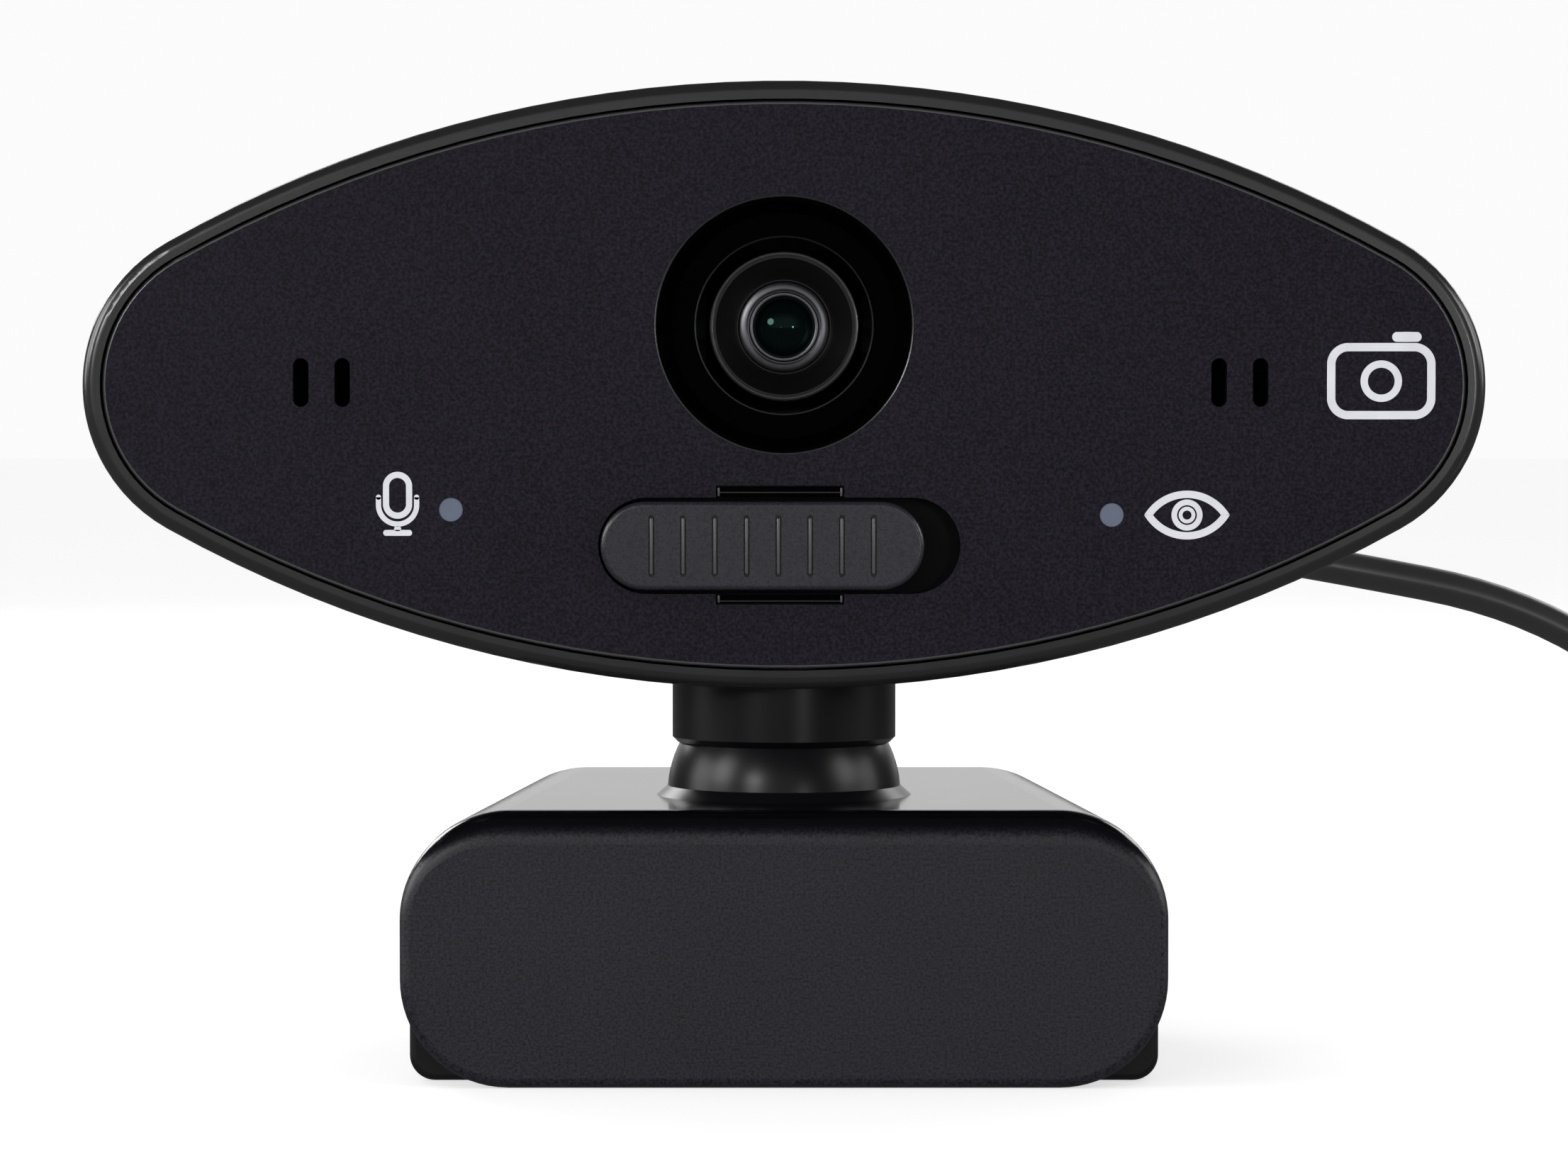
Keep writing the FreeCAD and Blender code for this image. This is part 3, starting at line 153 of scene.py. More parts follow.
class Shader(Graph):
    """One material with a Principled surface."""

    def __init__(self, name, settings=None):
        self.material = bpy.data.materials.new(name)
        self.material.use_nodes = True
        super().__init__(self.material.node_tree)
        self.surface = self.tree.nodes["Principled BSDF"]
        for key, setting in (settings or {}).items():
            self.surface.inputs[key].default_value = setting

    def place(self):
        """Position in metres, in the part's frame."""
        return self.node("ShaderNodeTexCoord", output="Object")

    def stretched(self, shares):
        """Position with each axis multiplied by its share."""
        return self.node("ShaderNodeVectorMath", {"operation": "MULTIPLY"}, {0: self.place(), 1: shares})

    def noise(self, scale, detail=2.0, rough=0.5, where=None):
        return self.node("ShaderNodeTexNoise", inputs={
            "Vector": where or self.place(), "Scale": scale, "Detail": detail, "Roughness": rough})

    def colour(self, given):
        self.feed(self.surface.inputs["Base Color"], given)

    def rough(self, given):
        self.feed(self.surface.inputs["Roughness"], given)

    def bump(self, height, distance, strength=1.0):
        raised = self.node("ShaderNodeBump", inputs={"Strength": strength, "Distance": distance, "Height": height})
        self.feed(self.surface.inputs["Normal"], raised)


def darker(colour, share):
    return tuple(part * share for part in colour[:3]) + (1,)


# ---------------------------------------------------------------- finishes
def grained_plastic(name, colour, grain=0.00024, depth=0.00002, rough=0.5, spread=0.25, specular=0.5,
                    polished_shaded_top=None):
    """Moulded plastic with a fine spark-eroded grain and faint cloudiness. Given a top roughness, the faces that
    look up and the edges that turn towards them get it, as the mould leaves them smooth, and their colour is
    darkened almost
    to black: painted shade for the dark ceiling they reflect."""
    shader = Shader(name, {"Specular IOR Level": specular})
    fine = shader.noise(1 / grain, 4.0, 0.65)
    broad = shader.noise(110, 3.0, 0.6)
    speck = fine.above(0.5, 0.16)
    dark, light = darker(colour, 1 - spread), darker(colour, 1 + spread)
    paint = shader.mix(speck * 0.8 + broad * 0.2, dark, light)
    skin = rough - 0.08 + speck * 0.1 + broad * 0.06
    relief = fine
    if polished_shaded_top is not None:
        facing = shader.node("ShaderNodeTexCoord", output="Normal")
        top = shader.along("Z", facing).above(0.42, 0.26)
        # Painted shade: faces that look up are darkened to 0.12 of the colour, for the dark ceiling they reflect.
        paint = shader.mix(top, paint, darker(colour, 0.12))
        skin = skin * (1 - top) + top * (polished_shaded_top + broad * 0.02)
        relief = fine * (1 - top * 0.97)
    shader.colour(paint)
    shader.rough(skin)
    shader.bump(relief, depth, 0.8)
    return shader.material


def smooth_plastic(name, colour, rough=0.3, wear=0.06, specular=0.5, coat=0.0):
    """Moulded plastic with a near smooth skin, faint flow marks and fine handling haze."""
    shader = Shader(name, {"Specular IOR Level": specular, "Coat Weight": coat, "Coat Roughness": 0.08})
    haze = shader.noise(420, 4.0, 0.6)
    fine = shader.noise(5200, 2.0, 0.5)
    shader.colour(shader.mix(haze, darker(colour, 0.88), darker(colour, 1.12)))
    shader.rough(rough - wear / 2 + haze * wear)
    shader.bump(fine * 0.6 + haze * 0.4, 0.000006, 0.5)
    return shader.material


def metal(name, colour, rough=0.28, brush=(1, 1, 1)):
    """Plain metal with fine tool marks along one direction."""
    shader = Shader(name, {"Metallic": 1.0})
    stretched = shader.stretched(brush)
    marks = shader.noise(2600, 3.0, 0.6, stretched)
    shader.colour(shader.mix(marks, darker(colour, 0.85), darker(colour, 1.1)))
    shader.rough(rough - 0.05 + marks * 0.12)
    shader.bump(marks, 0.000004, 0.5)
    return shader.material


def rubber(name, colour, rough=0.55):
    shader = Shader(name, {"Specular IOR Level": 0.4})
    fine = shader.noise(3400, 3.0, 0.6)
    dust = shader.noise(300, 4.0, 0.6)
    shader.colour(shader.mix(dust, darker(colour, 0.8), darker(colour, 1.3)))
    shader.rough(rough - 0.05 + dust * 0.12)
    shader.bump(fine, 0.00001, 0.6)
    return shader.material


def dark_glass(name, depth_colour, reflex):
    """Coated optical glass, made opaque over a dark inside: its depth colour is the glass's own tint, where it has
    one, darkened by painted shade for the inside seen through it; what it reflects takes the coating's tint.
    """
    shader = Shader(name, {"Roughness": 0.06, "Specular IOR Level": 0.3, "Coat Weight": 0.03, "Coat Roughness": 0.01,
                           "Coat IOR": 1.5, "Specular Tint": reflex})
    streak = shader.noise(900, 2.0, 0.5)
    shader.colour(shader.mix(streak, darker(depth_colour, 0.7), darker(depth_colour, 1.3)))
    return shader.material


def circuit_board(name):
    """Solder mask over copper tracks, with the tracks a little raised."""
    shader = Shader(name)
    tracks = shader.noise(420, 1.0, 0.3, shader.stretched((1.0, 0.0, 3.0))).above(0.52, 0.02)
    shader.colour(shader.mix(tracks, (0.006, 0.05, 0.02, 1), (0.02, 0.13, 0.06, 1)))
    shader.rough(0.32 + tracks * 0.1)
    shader.bump(tracks, 0.00003, 0.7)
    return shader.material


FINISH = {
    "face_plastic": grained_plastic("face_plastic", (0.0074, 0.0058, 0.0114, 1), rough=0.55, spread=0.8,
                                    specular=0.16, depth=0.00003),
    "shell_plastic": smooth_plastic("shell_plastic", (0.011, 0.011, 0.0115, 1), rough=0.22, specular=0.72),
    # Near-perfect black with almost no reflection, for the guide strips in the slider's notches: partly their own
    # black, partly painted shade of the notches.
    "gloss_black": smooth_plastic("gloss_black", (0.0004, 0.0004, 0.0004, 1), rough=0.5, specular=0.012),
    "slider_plastic": grained_plastic("slider_plastic", (0.013, 0.0118, 0.0175, 1), grain=0.00016, depth=0.00001,
                                      rough=0.30, spread=0.3, specular=0.7),
    # Painted highlight: a lighter colour for the ends of the guide strips and for the ribs in the knob's grooves.
    "slider_painted_highlight": smooth_plastic("slider_painted_highlight", (0.045, 0.043, 0.048, 1), rough=0.28, specular=0.8),
    # Painted highlight: a lighter colour for the skin over the face's bevel.
    "edge_sheen": smooth_plastic("edge_sheen", (0.050, 0.049, 0.051, 1), rough=0.24, specular=0.9),
    # Near-perfect black with little reflection, for the parts inside the head such as the lens well: partly their
    # own black, partly painted shade of the hollows.
    "inner_black": smooth_plastic("inner_black", (0.0016, 0.0016, 0.0017, 1), rough=0.36, specular=0.1),
    "barrel_black": smooth_plastic("barrel_black", (0.0028, 0.0028, 0.003, 1), rough=0.24, specular=0.5),
    "clip_plastic": grained_plastic("clip_plastic", (0.0082, 0.0070, 0.0128, 1), grain=0.0002, depth=0.00003,
                                    rough=0.42, spread=0.9, specular=0.52, polished_shaded_top=0.12),
    "neck_plastic": smooth_plastic("neck_plastic", (0.0026, 0.0026, 0.0036, 1), rough=0.30, specular=0.34),
    "light_pipe": smooth_plastic("light_pipe", (0.092, 0.109, 0.153, 1), rough=0.45, specular=0.3),
    "rubber_black": rubber("rubber_black", (0.004, 0.004, 0.004, 1), rough=0.36),
    "cable_jacket": smooth_plastic("cable_jacket", (0.021, 0.021, 0.022, 1), rough=0.32, specular=0.8),
    # Dark base colour: painted shade for the dark inside seen through the lens.
    "lens_glass": dark_glass("lens_glass", (0.0012, 0.002, 0.0022, 1), (0.22, 0.62, 0.5, 1)),
    "ring_metal": metal("ring_metal", (0.12, 0.12, 0.125, 1), rough=0.32),
    "ring_chrome": metal("ring_chrome", (0.20, 0.20, 0.215, 1), rough=0.34),
    "ring_black": smooth_plastic("ring_black", (0.012, 0.012, 0.0135, 1), rough=0.2, specular=0.9),
    "steel": metal("steel", (0.52, 0.52, 0.54, 1), rough=0.3, brush=(1, 6, 1)),
    "black_steel": metal("black_steel", (0.035, 0.035, 0.037, 1), rough=0.4),
    "brass": metal("brass", (0.66, 0.44, 0.15, 1), rough=0.25),
    "board_green": circuit_board("board_green"),
    "chip_black": smooth_plastic("chip_black", (0.012, 0.012, 0.012, 1), rough=0.5),
    "white_plastic": smooth_plastic("white_plastic", (0.72, 0.70, 0.64, 1), rough=0.42),
    "filter_glass": dark_glass("filter_glass", (0.02, 0.09, 0.12, 1), (0.9, 0.5, 0.6, 1)),
    "led_white": smooth_plastic("led_white", (0.82, 0.78, 0.5, 1), rough=0.35),
    "print_ink": smooth_plastic("print_ink", (0.56, 0.56, 0.60, 1), rough=0.55, specular=0.3),
    # Near-perfect black with almost no reflection: painted shade for parts deep inside the head.
    "painted_shade_black": smooth_plastic("painted_shade_black", (0.0006, 0.0006, 0.0006, 1), rough=0.6, specular=0.03),
}


# Nodes that look different from the rest of their material slot. The microphone parts and the lens holder, deep
# inside the head, get a near-perfect black with almost no reflection: painted shade.
OWN_FINISH = {"microphone_boots": "painted_shade_black", "microphones": "painted_shade_black", "microphone_boards": "painted_shade_black",
              "lens_holder": "painted_shade_black", "lens_barrel": "barrel_black"}


def finish_nodes():
    """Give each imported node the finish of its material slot."""
    for row in frame["record"]["subparts"]:
        node = nodes[row["node"]]
        node.data.materials.clear()
        node.data.materials.append(FINISH[OWN_FINISH.get(row["node"], row["material_slot"])])


finish_nodes()


# ---------------------------------------------------------------- modelling helpers
def clear():
    """Leave edit mode's and object mode's selection empty."""
    if bpy.context.object and bpy.context.object.mode != "OBJECT":
        bpy.ops.object.mode_set(mode="OBJECT")
    bpy.ops.object.select_all(action="DESELECT")


def settled(piece, body, finish):
    """Put the piece's place into its mesh, give it its finish, and let it ride on a body."""
    clear()
    piece.select_set(True)
    bpy.context.view_layer.objects.active = piece
    bpy.ops.object.transform_apply(location=True, rotation=True, scale=True)
    for modifier in list(piece.modifiers):
        bpy.ops.object.modifier_apply(modifier=modifier.name)
    bpy.ops.object.mode_set(mode="EDIT")
    bpy.ops.mesh.select_all(action="SELECT")
    bpy.ops.mesh.remove_doubles(threshold=0.0000005)
    bpy.ops.mesh.normals_make_consistent(inside=False)
    bpy.ops.object.mode_set(mode="OBJECT")
    piece.data.materials.clear()
    piece.data.materials.append(FINISH[finish])
    "face_plastic" if finish == "print_ink" else finish
    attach(piece, body)
    piece.select_set(False)
    return piece


def smooth(piece, degrees):
    """Shade smooth over the edges that turn by less than the angle."""
    clear()
    piece.select_set(True)
    bpy.context.view_layer.objects.active = piece
    bpy.ops.object.shade_smooth_by_angle(angle=math.radians(degrees))
    piece.select_set(False)
    return piece


# ---------------------------------------------------------------- cable
CABLE_DIAMETER = 3.0 * MM
COIL_X, COIL_Y = 106 * MM, 24 * MM
FIRST_LAYER_Z = 2.1 * MM
LEAD_OUT = [
    (20.5, 24, 43.5), (20.5, 33, 43.5), (25.3, 41.8, 41.9), (35.5, 46.8, 38.9), (49.5, 48, 36.5),
    (63, 47.5, 33.9), (74, 47, 28.0), (81.0, 46.4, 19.0), (86, 46, 9.8), (93, 45.4, 4.4), (102, 45.05, 2.1),
]
TAIL = [(127.05, 19, 11.2), (127.3, 11.5, 9.9), (127.8, 4.5, 6.0), (128, -2.5, 3.5), (128, -9, 3.5)]
COLUMNS = (21.05, 18.0, 14.95)
LAYERS = 4
LAYER_STEP = 3.05
POINTS_A_TURN = 16
COIL_TURNS = 12.25
CROSSING = 0.14


def coil_stand(number):
    """Radius and height of a turn: layers fill inwards and outwards by turns."""
    layer, column = divmod(min(number, LAYERS * len(COLUMNS) - 1), len(COLUMNS))
    radius = COLUMNS[column] if layer % 2 == 0 else COLUMNS[-1 - column]
    return Vector((radius, layer * LAYER_STEP))


def coil_point(turn):
    """Centre of the cord that many turns into the coil. It keeps to its turn's column and layer, and crosses to the
    next one in a short stretch at the turn's end."""
    whole = int(turn)
    share = max(0.0, (turn - whole - 1 + CROSSING) / CROSSING)
    radius, height = coil_stand(whole).lerp(coil_stand(whole + 1), share * share * (3 - 2 * share))
    angle = math.pi / 2 - turn * 2 * math.pi
    return (COIL_X + radius * MM * math.cos(angle), COIL_Y + radius * MM * math.sin(angle),
            FIRST_LAYER_Z + height * MM)


def make_cable():
    route = [tuple(part * MM for part in point) for point in LEAD_OUT]
    steps = round(COIL_TURNS * POINTS_A_TURN)
    route += [coil_point(step / POINTS_A_TURN) for step in range(1, steps + 1)]
    route += [tuple(part * MM for part in point) for point in TAIL]
    curve = bpy.data.curves.new("usb_cable", "CURVE")
    curve.dimensions = "3D"
    curve.bevel_depth = CABLE_DIAMETER / 2
    curve.bevel_resolution = 5
    curve.use_fill_caps = True
    spline = curve.splines.new("NURBS")
    spline.points.add(len(route) - 1)
    for point, place in zip(spline.points, route):
        point.co = (*place, 1)
    spline.order_u = 3
    spline.use_endpoint_u = True
    spline.resolution_u = 6
    cable = bpy.data.objects.new("usb_cable", curve)
    bpy.context.scene.collection.objects.link(cable)
    curve.materials.append(FINISH["cable_jacket"])
    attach(cable, "head")
    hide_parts("cable_lead", "cable_coil", "cable_tail")
    return cable


cable = make_cable()


# ---------------------------------------------------------------- printed marks on the face
INK_THICK = 0.03 * MM
ON_LINE = 0.000001
MIC_MARK = (-28.88 * MM, 42.9 * MM)
EYE_MARK = (30.12 * MM, 42.1 * MM)
CAMERA_MARK = (44.6 * MM, 52.1 * MM)


def select_where(wanted):
    """In edit mode, select the vertices whose place passes the test, and nothing else."""
    bpy.ops.mesh.select_mode(type="VERT")
    bpy.ops.mesh.select_all(action="DESELECT")
    bpy.ops.object.mode_set(mode="OBJECT")
    mesh = bpy.context.object.data
    for vertex in mesh.vertices:
        vertex.select = wanted(vertex.co)
    bpy.ops.object.mode_set(mode="EDIT")


def ring(x, z, radius, line, stretch=0.0, sides=64):
    """Flat closed line around a circle whose upper and lower halves are pulled apart; stays in edit mode."""
    clear()
    bpy.ops.mesh.primitive_circle_add(vertices=sides, radius=radius, location=(x, FACE_Y, z),
                                      rotation=(math.pi / 2, 0, 0))
    bpy.ops.object.transform_apply(location=True, rotation=True, scale=True)
    bpy.ops.object.mode_set(mode="EDIT")
    bpy.ops.mesh.select_all(action="SELECT")
    bpy.ops.mesh.extrude_region_move()
    inner = (radius - line) / radius
    bpy.ops.transform.resize(value=(inner, 1, inner), center_override=(x, FACE_Y, z))
    if stretch:
        for side in (1, -1):
            select_where(lambda co, side=side: side * (co.z - z) > ON_LINE)
            bpy.ops.transform.translate(value=(0, 0, side * stretch))
    return bpy.context.object


def bar(x, z, width, height):
    """Flat bar with round ends; stays in edit mode."""
    clear()
    bpy.ops.mesh.primitive_circle_add(vertices=24, radius=height / 2, fill_type="NGON", location=(x, FACE_Y, z),
                                      rotation=(math.pi / 2, 0, 0))
    bpy.ops.object.transform_apply(location=True, rotation=True, scale=True)
    bpy.ops.object.mode_set(mode="EDIT")
    for side in (1, -1):
        select_where(lambda co, side=side: side * (co.x - x) > ON_LINE)
        bpy.ops.transform.translate(value=(side * (width - height) / 2, 0, 0))
    return bpy.context.object


def cut_off(z, above):
    """Remove what lies above or below a height from the piece in edit mode."""
    bpy.ops.mesh.select_all(action="SELECT")
    bpy.ops.mesh.bisect(plane_co=(0, FACE_Y, z), plane_no=(0, 0, 1), clear_outer=above, clear_inner=not above)


def joined(name, *parts):
    """Join flat parts into one mark with the thickness of a layer of ink."""
    clear()
    for part in parts:
        part.select_set(True)
    mark = parts[0]
    bpy.context.view_layer.objects.active = mark
    if len(parts) > 1:
        bpy.ops.object.join()
    mark.name = mark.data.name = name
    layer = mark.modifiers.new("ink", "SOLIDIFY")
    layer.thickness = 2 * INK_THICK
    layer.offset = 0
    return settled(mark, "head", "print_ink")


def make_mic_mark():
    x, z = MIC_MARK
    capsule = ring(x, z + 0.68 * MM, 1.095 * MM, 0.46 * MM, stretch=0.66 * MM)
    cradle = ring(x, z - 0.05 * MM, 1.62 * MM, 0.39 * MM)
    cut_off(z - 0.05 * MM, above=True)
    select_where(lambda co: co.z > z - 0.0501 * MM)
    bpy.ops.mesh.extrude_region_move(TRANSFORM_OT_translate={"value": (0, 0, 0.58 * MM)})
    stem = bar(x, z - 1.82 * MM, 0.52 * MM, 0.37 * MM)
    foot = bar(x, z - 2.13 * MM, 2.16 * MM, 0.45 * MM)
    ends = [bar(x + side * 1.425 * MM, z + 0.53 * MM, 0.39 * MM, 0.39 * MM) for side in (1, -1)]
    joined("mic_mark", capsule, cradle, stem, foot, *ends)


def make_eye_mark():
    x, z = EYE_MARK
    half_width, half_height = 3.2 * MM, 1.825 * MM
    radius = (half_width ** 2 + half_height ** 2) / (2 * half_height)
    lids = []
    for side in (1, -1):
        lids.append(ring(x, z + side * (half_height - radius), radius, 0.55 * MM, sides=128))
        cut_off(z, above=side < 0)
    iris = ring(x, z, 1.16 * MM, 0.42 * MM)
    pupil = ring(x, z, 0.62 * MM, 0.28 * MM, sides=48)
    joined("eye_mark", *lids, iris, pupil)


def make_camera_mark():
    """Plain camera sign: a case with a button on it, and a round lens."""
    x, z = CAMERA_MARK
    case = ring(x, z, 1.6 * MM, 0.62 * MM, stretch=1.25 * MM)
    for side in (1, -1):
        select_where(lambda co, side=side: side * (co.x - x) > ON_LINE)
        bpy.ops.transform.translate(value=(side * 2.45 * MM, 0, 0))
    eye = ring(x, z, 1.55 * MM, 0.55 * MM)
    button = bar(x + 1.9 * MM, z + 3.3 * MM, 2.2 * MM, 0.75 * MM)
    joined("camera_mark", case, eye, button)


make_mic_mark()
make_eye_mark()
make_camera_mark()


# ---------------------------------------------------------------- turned rings round the lens
def turned_ring(name, profile, finish, steps=96):
    """Ring made by spinning a closed profile of (radius, y) points in millimetres round the lens axis."""
    clear()
    radius, y = profile[0]
    bpy.ops.mesh.primitive_plane_add(size=0.0001, location=(radius * MM, y * MM, LENS.z))
    piece = bpy.context.object
    piece.name = piece.data.name = name
    bpy.ops.object.transform_apply(location=True, rotation=True, scale=True)
    bpy.ops.object.mode_set(mode="EDIT")
    bpy.ops.mesh.select_all(action="SELECT")
    bpy.ops.mesh.merge(type="CENTER")
    for (radius, y), (next_radius, next_y) in zip(profile, profile[1:] + profile[:1]):
        bpy.ops.mesh.extrude_region_move(
            TRANSFORM_OT_translate={"value": ((next_radius - radius) * MM, (next_y - y) * MM, 0)})
    bpy.ops.mesh.select_all(action="SELECT")
    bpy.ops.mesh.remove_doubles(threshold=0.000001)
    bpy.ops.mesh.spin(steps=steps, angle=2 * math.pi, center=(0, 0, LENS.z), axis=(0, 1, 0))
    bpy.ops.mesh.select_all(action="SELECT")
    bpy.ops.mesh.remove_doubles(threshold=0.000002)
    bpy.ops.object.mode_set(mode="OBJECT")
    return smooth(settled(piece, "head", finish), 32)


WELL_FLOOR_DOWN = 1.6


def make_lens_rings():
    """Beads and rings in steps from the glass outwards; profiles are in millimetres."""
    front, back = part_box("retaining_ring")[0].y / MM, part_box("retaining_ring")[1].y / MM
    retainer = turned_ring("lens_retainer", [
        (3.48, back), (3.48, front + 0.40), (3.44, front + 0.24), (3.32, front + 0.14), (3.10, front + 0.07),
        (2.90, front + 0.05), (2.80, front + 0.10), (2.76, front + 0.30), (2.68, front + 0.32),
        (2.64, front + 0.12), (2.56, front + 0.02), (2.46, front), (2.38, front + 0.03), (2.32, front + 0.12),
        (2.25, front + 0.34), (2.25, back)], "ring_chrome")
    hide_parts("retaining_ring")
    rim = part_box("lens_barrel")[0].y / MM
    edge = turned_ring("barrel_edge", [
        (5.66, rim + 0.3), (5.66, rim + 0.05), (5.60, rim - 0.02), (5.50, rim - 0.05), (5.38, rim - 0.03),
        (5.30, rim + 0.06), (5.28, rim + 0.3)], "ring_black")
    bead = turned_ring("well_edge", [
        (9.72, FACE_Y / MM + 0.25), (9.72, FACE_Y / MM + 0.02), (9.68, FACE_Y / MM - 0.03),
        (9.60, FACE_Y / MM - 0.01), (9.55, FACE_Y / MM + 0.08), (9.55, FACE_Y / MM + 0.25)], "ring_black")
    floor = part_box("lens_well")[0].y / MM + WELL_FLOOR_DOWN
    iris = turned_ring("iris_edge", [
        (6.60, floor + 0.25), (6.60, floor + 0.02), (6.64, floor - 0.05), (6.72, floor - 0.06),
        (6.78, floor + 0.02), (6.78, floor + 0.25)], "barrel_black")


make_lens_rings()


# ---------------------------------------------------------------- edge of the face
def make_face_edge():
    """Light line round the face: a thin skin over the bevel of the front cover, in a colour lighter than the face
    that paints the highlight the bevel catches; its gloss also catches real reflections.
    """
    clear()
    piece = nodes["front_cover"].copy()
    piece.data = nodes["front_cover"].data.copy()
    for key in list(piece.keys()):
        del piece[key]
    piece.parent = None
    piece.name = piece.data.name = "face_edge"
    bpy.context.scene.collection.objects.link(piece)
    bpy.context.view_layer.objects.active = piece
    piece.select_set(True)
    bpy.ops.object.mode_set(mode="EDIT")
    bpy.ops.mesh.select_all(action="SELECT")
    bpy.ops.mesh.remove_doubles(threshold=0.000001)
    bpy.ops.mesh.select_mode(type="FACE")
    bpy.ops.mesh.select_all(action="DESELECT")
    bpy.ops.object.mode_set(mode="OBJECT")
    for face in piece.data.polygons:
        on_bevel = -0.95 < face.normal.y < -0.4
        face.select = not on_bevel
    bpy.ops.object.mode_set(mode="EDIT")
    bpy.ops.mesh.delete(type="FACE")
    bpy.ops.object.mode_set(mode="OBJECT")
    skin = piece.modifiers.new("skin", "SOLIDIFY")
    skin.thickness = 0.02 * MM
    skin.offset = 1
    settled(piece, "head", "edge_sheen")


make_face_edge()


# ---------------------------------------------------------------- slider details
def soft_bar(name, low, high, round_off, body, finish):
    """Box between two corners in millimetres with rounded edges."""
    clear()
    middle = [(a + b) / 2 * MM for a, b in zip(low, high)]
    bpy.ops.mesh.primitive_cube_add(size=1, location=middle)
    piece = bpy.context.object
    piece.name = piece.data.name = name
    piece.scale = [(b - a) * MM for a, b in zip(low, high)]
    bpy.ops.object.transform_apply(location=True, rotation=True, scale=True)
    bpy.ops.object.mode_set(mode="EDIT")
    bpy.ops.mesh.select_all(action="SELECT")
    bpy.ops.mesh.bevel(offset=round_off * MM, segments=4, profile=0.5)
    bpy.ops.object.mode_set(mode="OBJECT")
    return smooth(settled(piece, body, finish), 50)


RIBS = 8
RIB_PITCH = 2.37
FIRST_RIB_X = -9.9
RIB_HALF_WIDTH = 0.13
RIB_HALF_HEIGHT = 2.1
GUIDE_BACK = 0.5


def make_slider_details():
    """Guide strips in the two notches, of a near-perfect black that is partly their own and partly painted shade of
    the notches, with light seams and with ends in a lighter colour that paints their highlights; and in each finger
    groove a rib in that lighter colour, which paints the highlight the groove's walls catch.
    """
    face = FACE_Y / MM
    left, right, line = -5.0, 4.4, 0.13
    for side, low, high, seam in (("up", 43.45, 44.2, 43.72), ("low", 35.5, 36.15, 35.6)):
        parts = {"strip": (left, right, low, high, 0.12, "gloss_black"),
                 "seam": (left + 0.1, right - 0.1, seam, seam + line, 0.08, "ring_black"),
                 "end_left": (left + 0.02, left + 0.2, low + 0.04, high - 0.04, 0.06, "slider_painted_highlight"),
                 "end_right": (right - 0.2, right - 0.02, low + 0.04, high - 0.04, 0.06, "slider_painted_highlight")}
        for part, (x_low, x_high, z_low, z_high, depth, finish) in parts.items():
            piece = soft_bar(f"guide_{part}_{side}", (x_low, face + depth, z_low),
                             (x_high, face + GUIDE_BACK, z_high), line / 2.2, "head", finish)
    low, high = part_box("privacy_slider")
    front, middle = low.y / MM, (low.z + high.z) / 2 / MM
    for number in range(RIBS):
        x = FIRST_RIB_X + RIB_PITCH * number
        rib = soft_bar(f"knob_rib_{number + 1}", (x - RIB_HALF_WIDTH, front - 0.02, middle - RIB_HALF_HEIGHT),
                       (x + RIB_HALF_WIDTH, front + 0.36, middle + RIB_HALF_HEIGHT), 0.1, "slider", "slider_painted_highlight")


make_slider_details()


# ---------------------------------------------------------------- floor, backdrop and light
PAPER = 0.965


def make_stage():
    """Wide pale floor. It glows a little, as a lit table does, so that it stays even in tone."""
    clear()
    bpy.ops.mesh.primitive_grid_add(x_subdivisions=8, y_subdivisions=8, size=30, location=(0, 0, 0))
    stage = bpy.context.object
    stage.name = stage.data.name = "floor"
    paper = Shader("floor_paper", {"Roughness": 0.9, "Specular IOR Level": 0.1, "Emission Color": (1, 1, 1, 1),
                                   "Emission Strength": 0.6})
    drift = paper.noise(3.0, 2.0, 0.4)
    paper.colour(paper.mix(drift, (0.42, 0.42, 0.42, 1), (0.44, 0.44, 0.44, 1)))
    glossy = paper.node("ShaderNodeLightPath", output="Is Glossy Ray")
    dim = paper.node("ShaderNodeEmission", inputs={"Color": (0.1, 0.1, 0.1, 1)})
    lit = Value(paper, paper.surface.outputs["BSDF"])
    blend = paper.node("ShaderNodeMixShader", inputs={0: glossy, 1: lit, 2: dim})
    paper.feed(paper.tree.nodes["Material Output"].inputs["Surface"], blend)
    stage.data.materials.append(paper.material)
    stage.select_set(False)


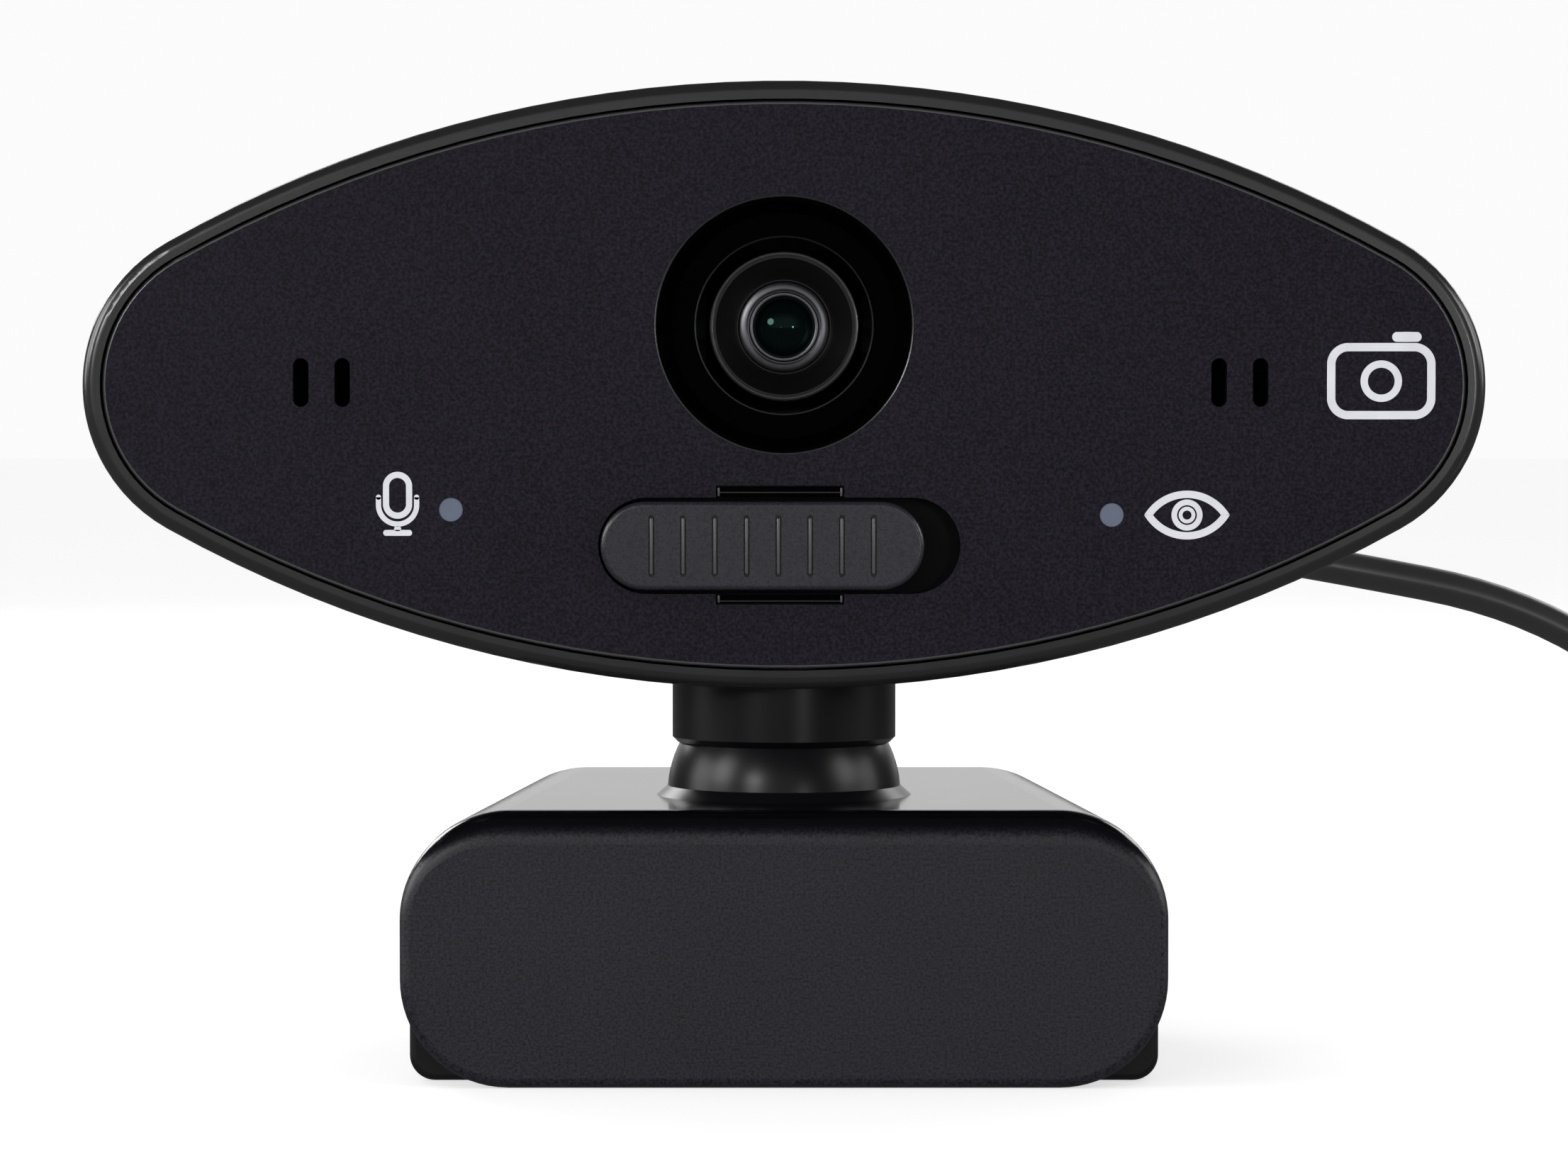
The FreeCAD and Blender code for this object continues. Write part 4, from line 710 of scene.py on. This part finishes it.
def lamp(name, place, target, glow, width, height=None):
    """Soft box of the given brightness, round where no height is given. It is seen only in what it lights."""
    data = bpy.data.lights.new(name, "AREA")
    data.size = width
    if height:
        data.shape, data.size_y, area = "RECTANGLE", height, width * height
    else:
        data.shape, area = "DISK", math.pi * width * width / 4
    data.energy = glow * math.pi * area
    light = bpy.data.objects.new(name, data)
    light.location = place
    light.rotation_euler = (Vector(target) - Vector(place)).to_track_quat("-Z", "Y").to_euler()
    light.visible_camera = False
    bpy.context.scene.collection.objects.link(light)


def make_world():
    """White surroundings for what is looked at directly and for matt surfaces. Glossy surfaces see a light tent:
    bright behind, a panel in front, dimmer sides and a dark ceiling."""
    world = bpy.data.worlds.new("studio")
    bpy.context.scene.world = world
    world.use_nodes = True
    sky = Graph(world.node_tree)
    direction = sky.node("ShaderNodeTexCoord", output="Generated")
    away, up = sky.along("Y", direction), sky.along("Z", direction)
    low = 1 - up.above(0.45, 0.2)
    back = away.above(0.84, 0.12) * 0.74
    front = (0 - away).above(0.86, 0.1) * 0.4
    tent = 0.04 + low * (back + front + 0.03)
    glossy = sky.node("ShaderNodeLightPath", output="Is Glossy Ray")
    seen = sky.node("ShaderNodeLightPath", output="Is Camera Ray")
    matt = 1 - glossy - seen
    glow = world.node_tree.nodes["Background"]
    sky.feed(glow.inputs["Strength"], seen * PAPER + matt * 0.8 + glossy * tent)
    glow.inputs["Color"].default_value = (1, 1, 1, 1)


# Name, place, what it points at, glow, width and height; a round lamp has no height.
LAMPS = (
    ("left_box", (-0.69, -0.30, 0.30), (0, 0, 0.03), 7.0, 0.26, 0.30),
    ("right_box", (0.69, -0.30, 0.30), (0, 0, 0.03), 4.5, 0.26, 0.30),
    ("left_wall", (-0.80, 0.03, 0.26), (0, 0, 0.04), 3.8, 0.35, 0.40),
    ("right_wall", (0.80, 0.03, 0.26), (0, 0, 0.04), 2.2, 0.35, 0.40),
    ("rear_left", (-0.45, 0.62, 0.42), (0, 0, 0.04), 6.0, 0.36, 0.36),
    ("rear_right", (0.45, 0.62, 0.42), (0, 0, 0.04), 3.2, 0.36, 0.36),
    ("key_spot", (-0.35, -0.60, 0.215), (0, 0, 0.05), 12.0, 0.17),
    ("catch_light", (0.235, -0.66, 0.075), (0, 0, 0.056), 110.0, 0.026),
    ("catch_light_low", (-0.08, -0.69, 0.07), (0, 0, 0.056), 30.0, 0.012),
)


make_world()
bpy.context.scene.view_settings.view_transform = "Standard"
make_stage()
for row in LAMPS:
    lamp(*row)
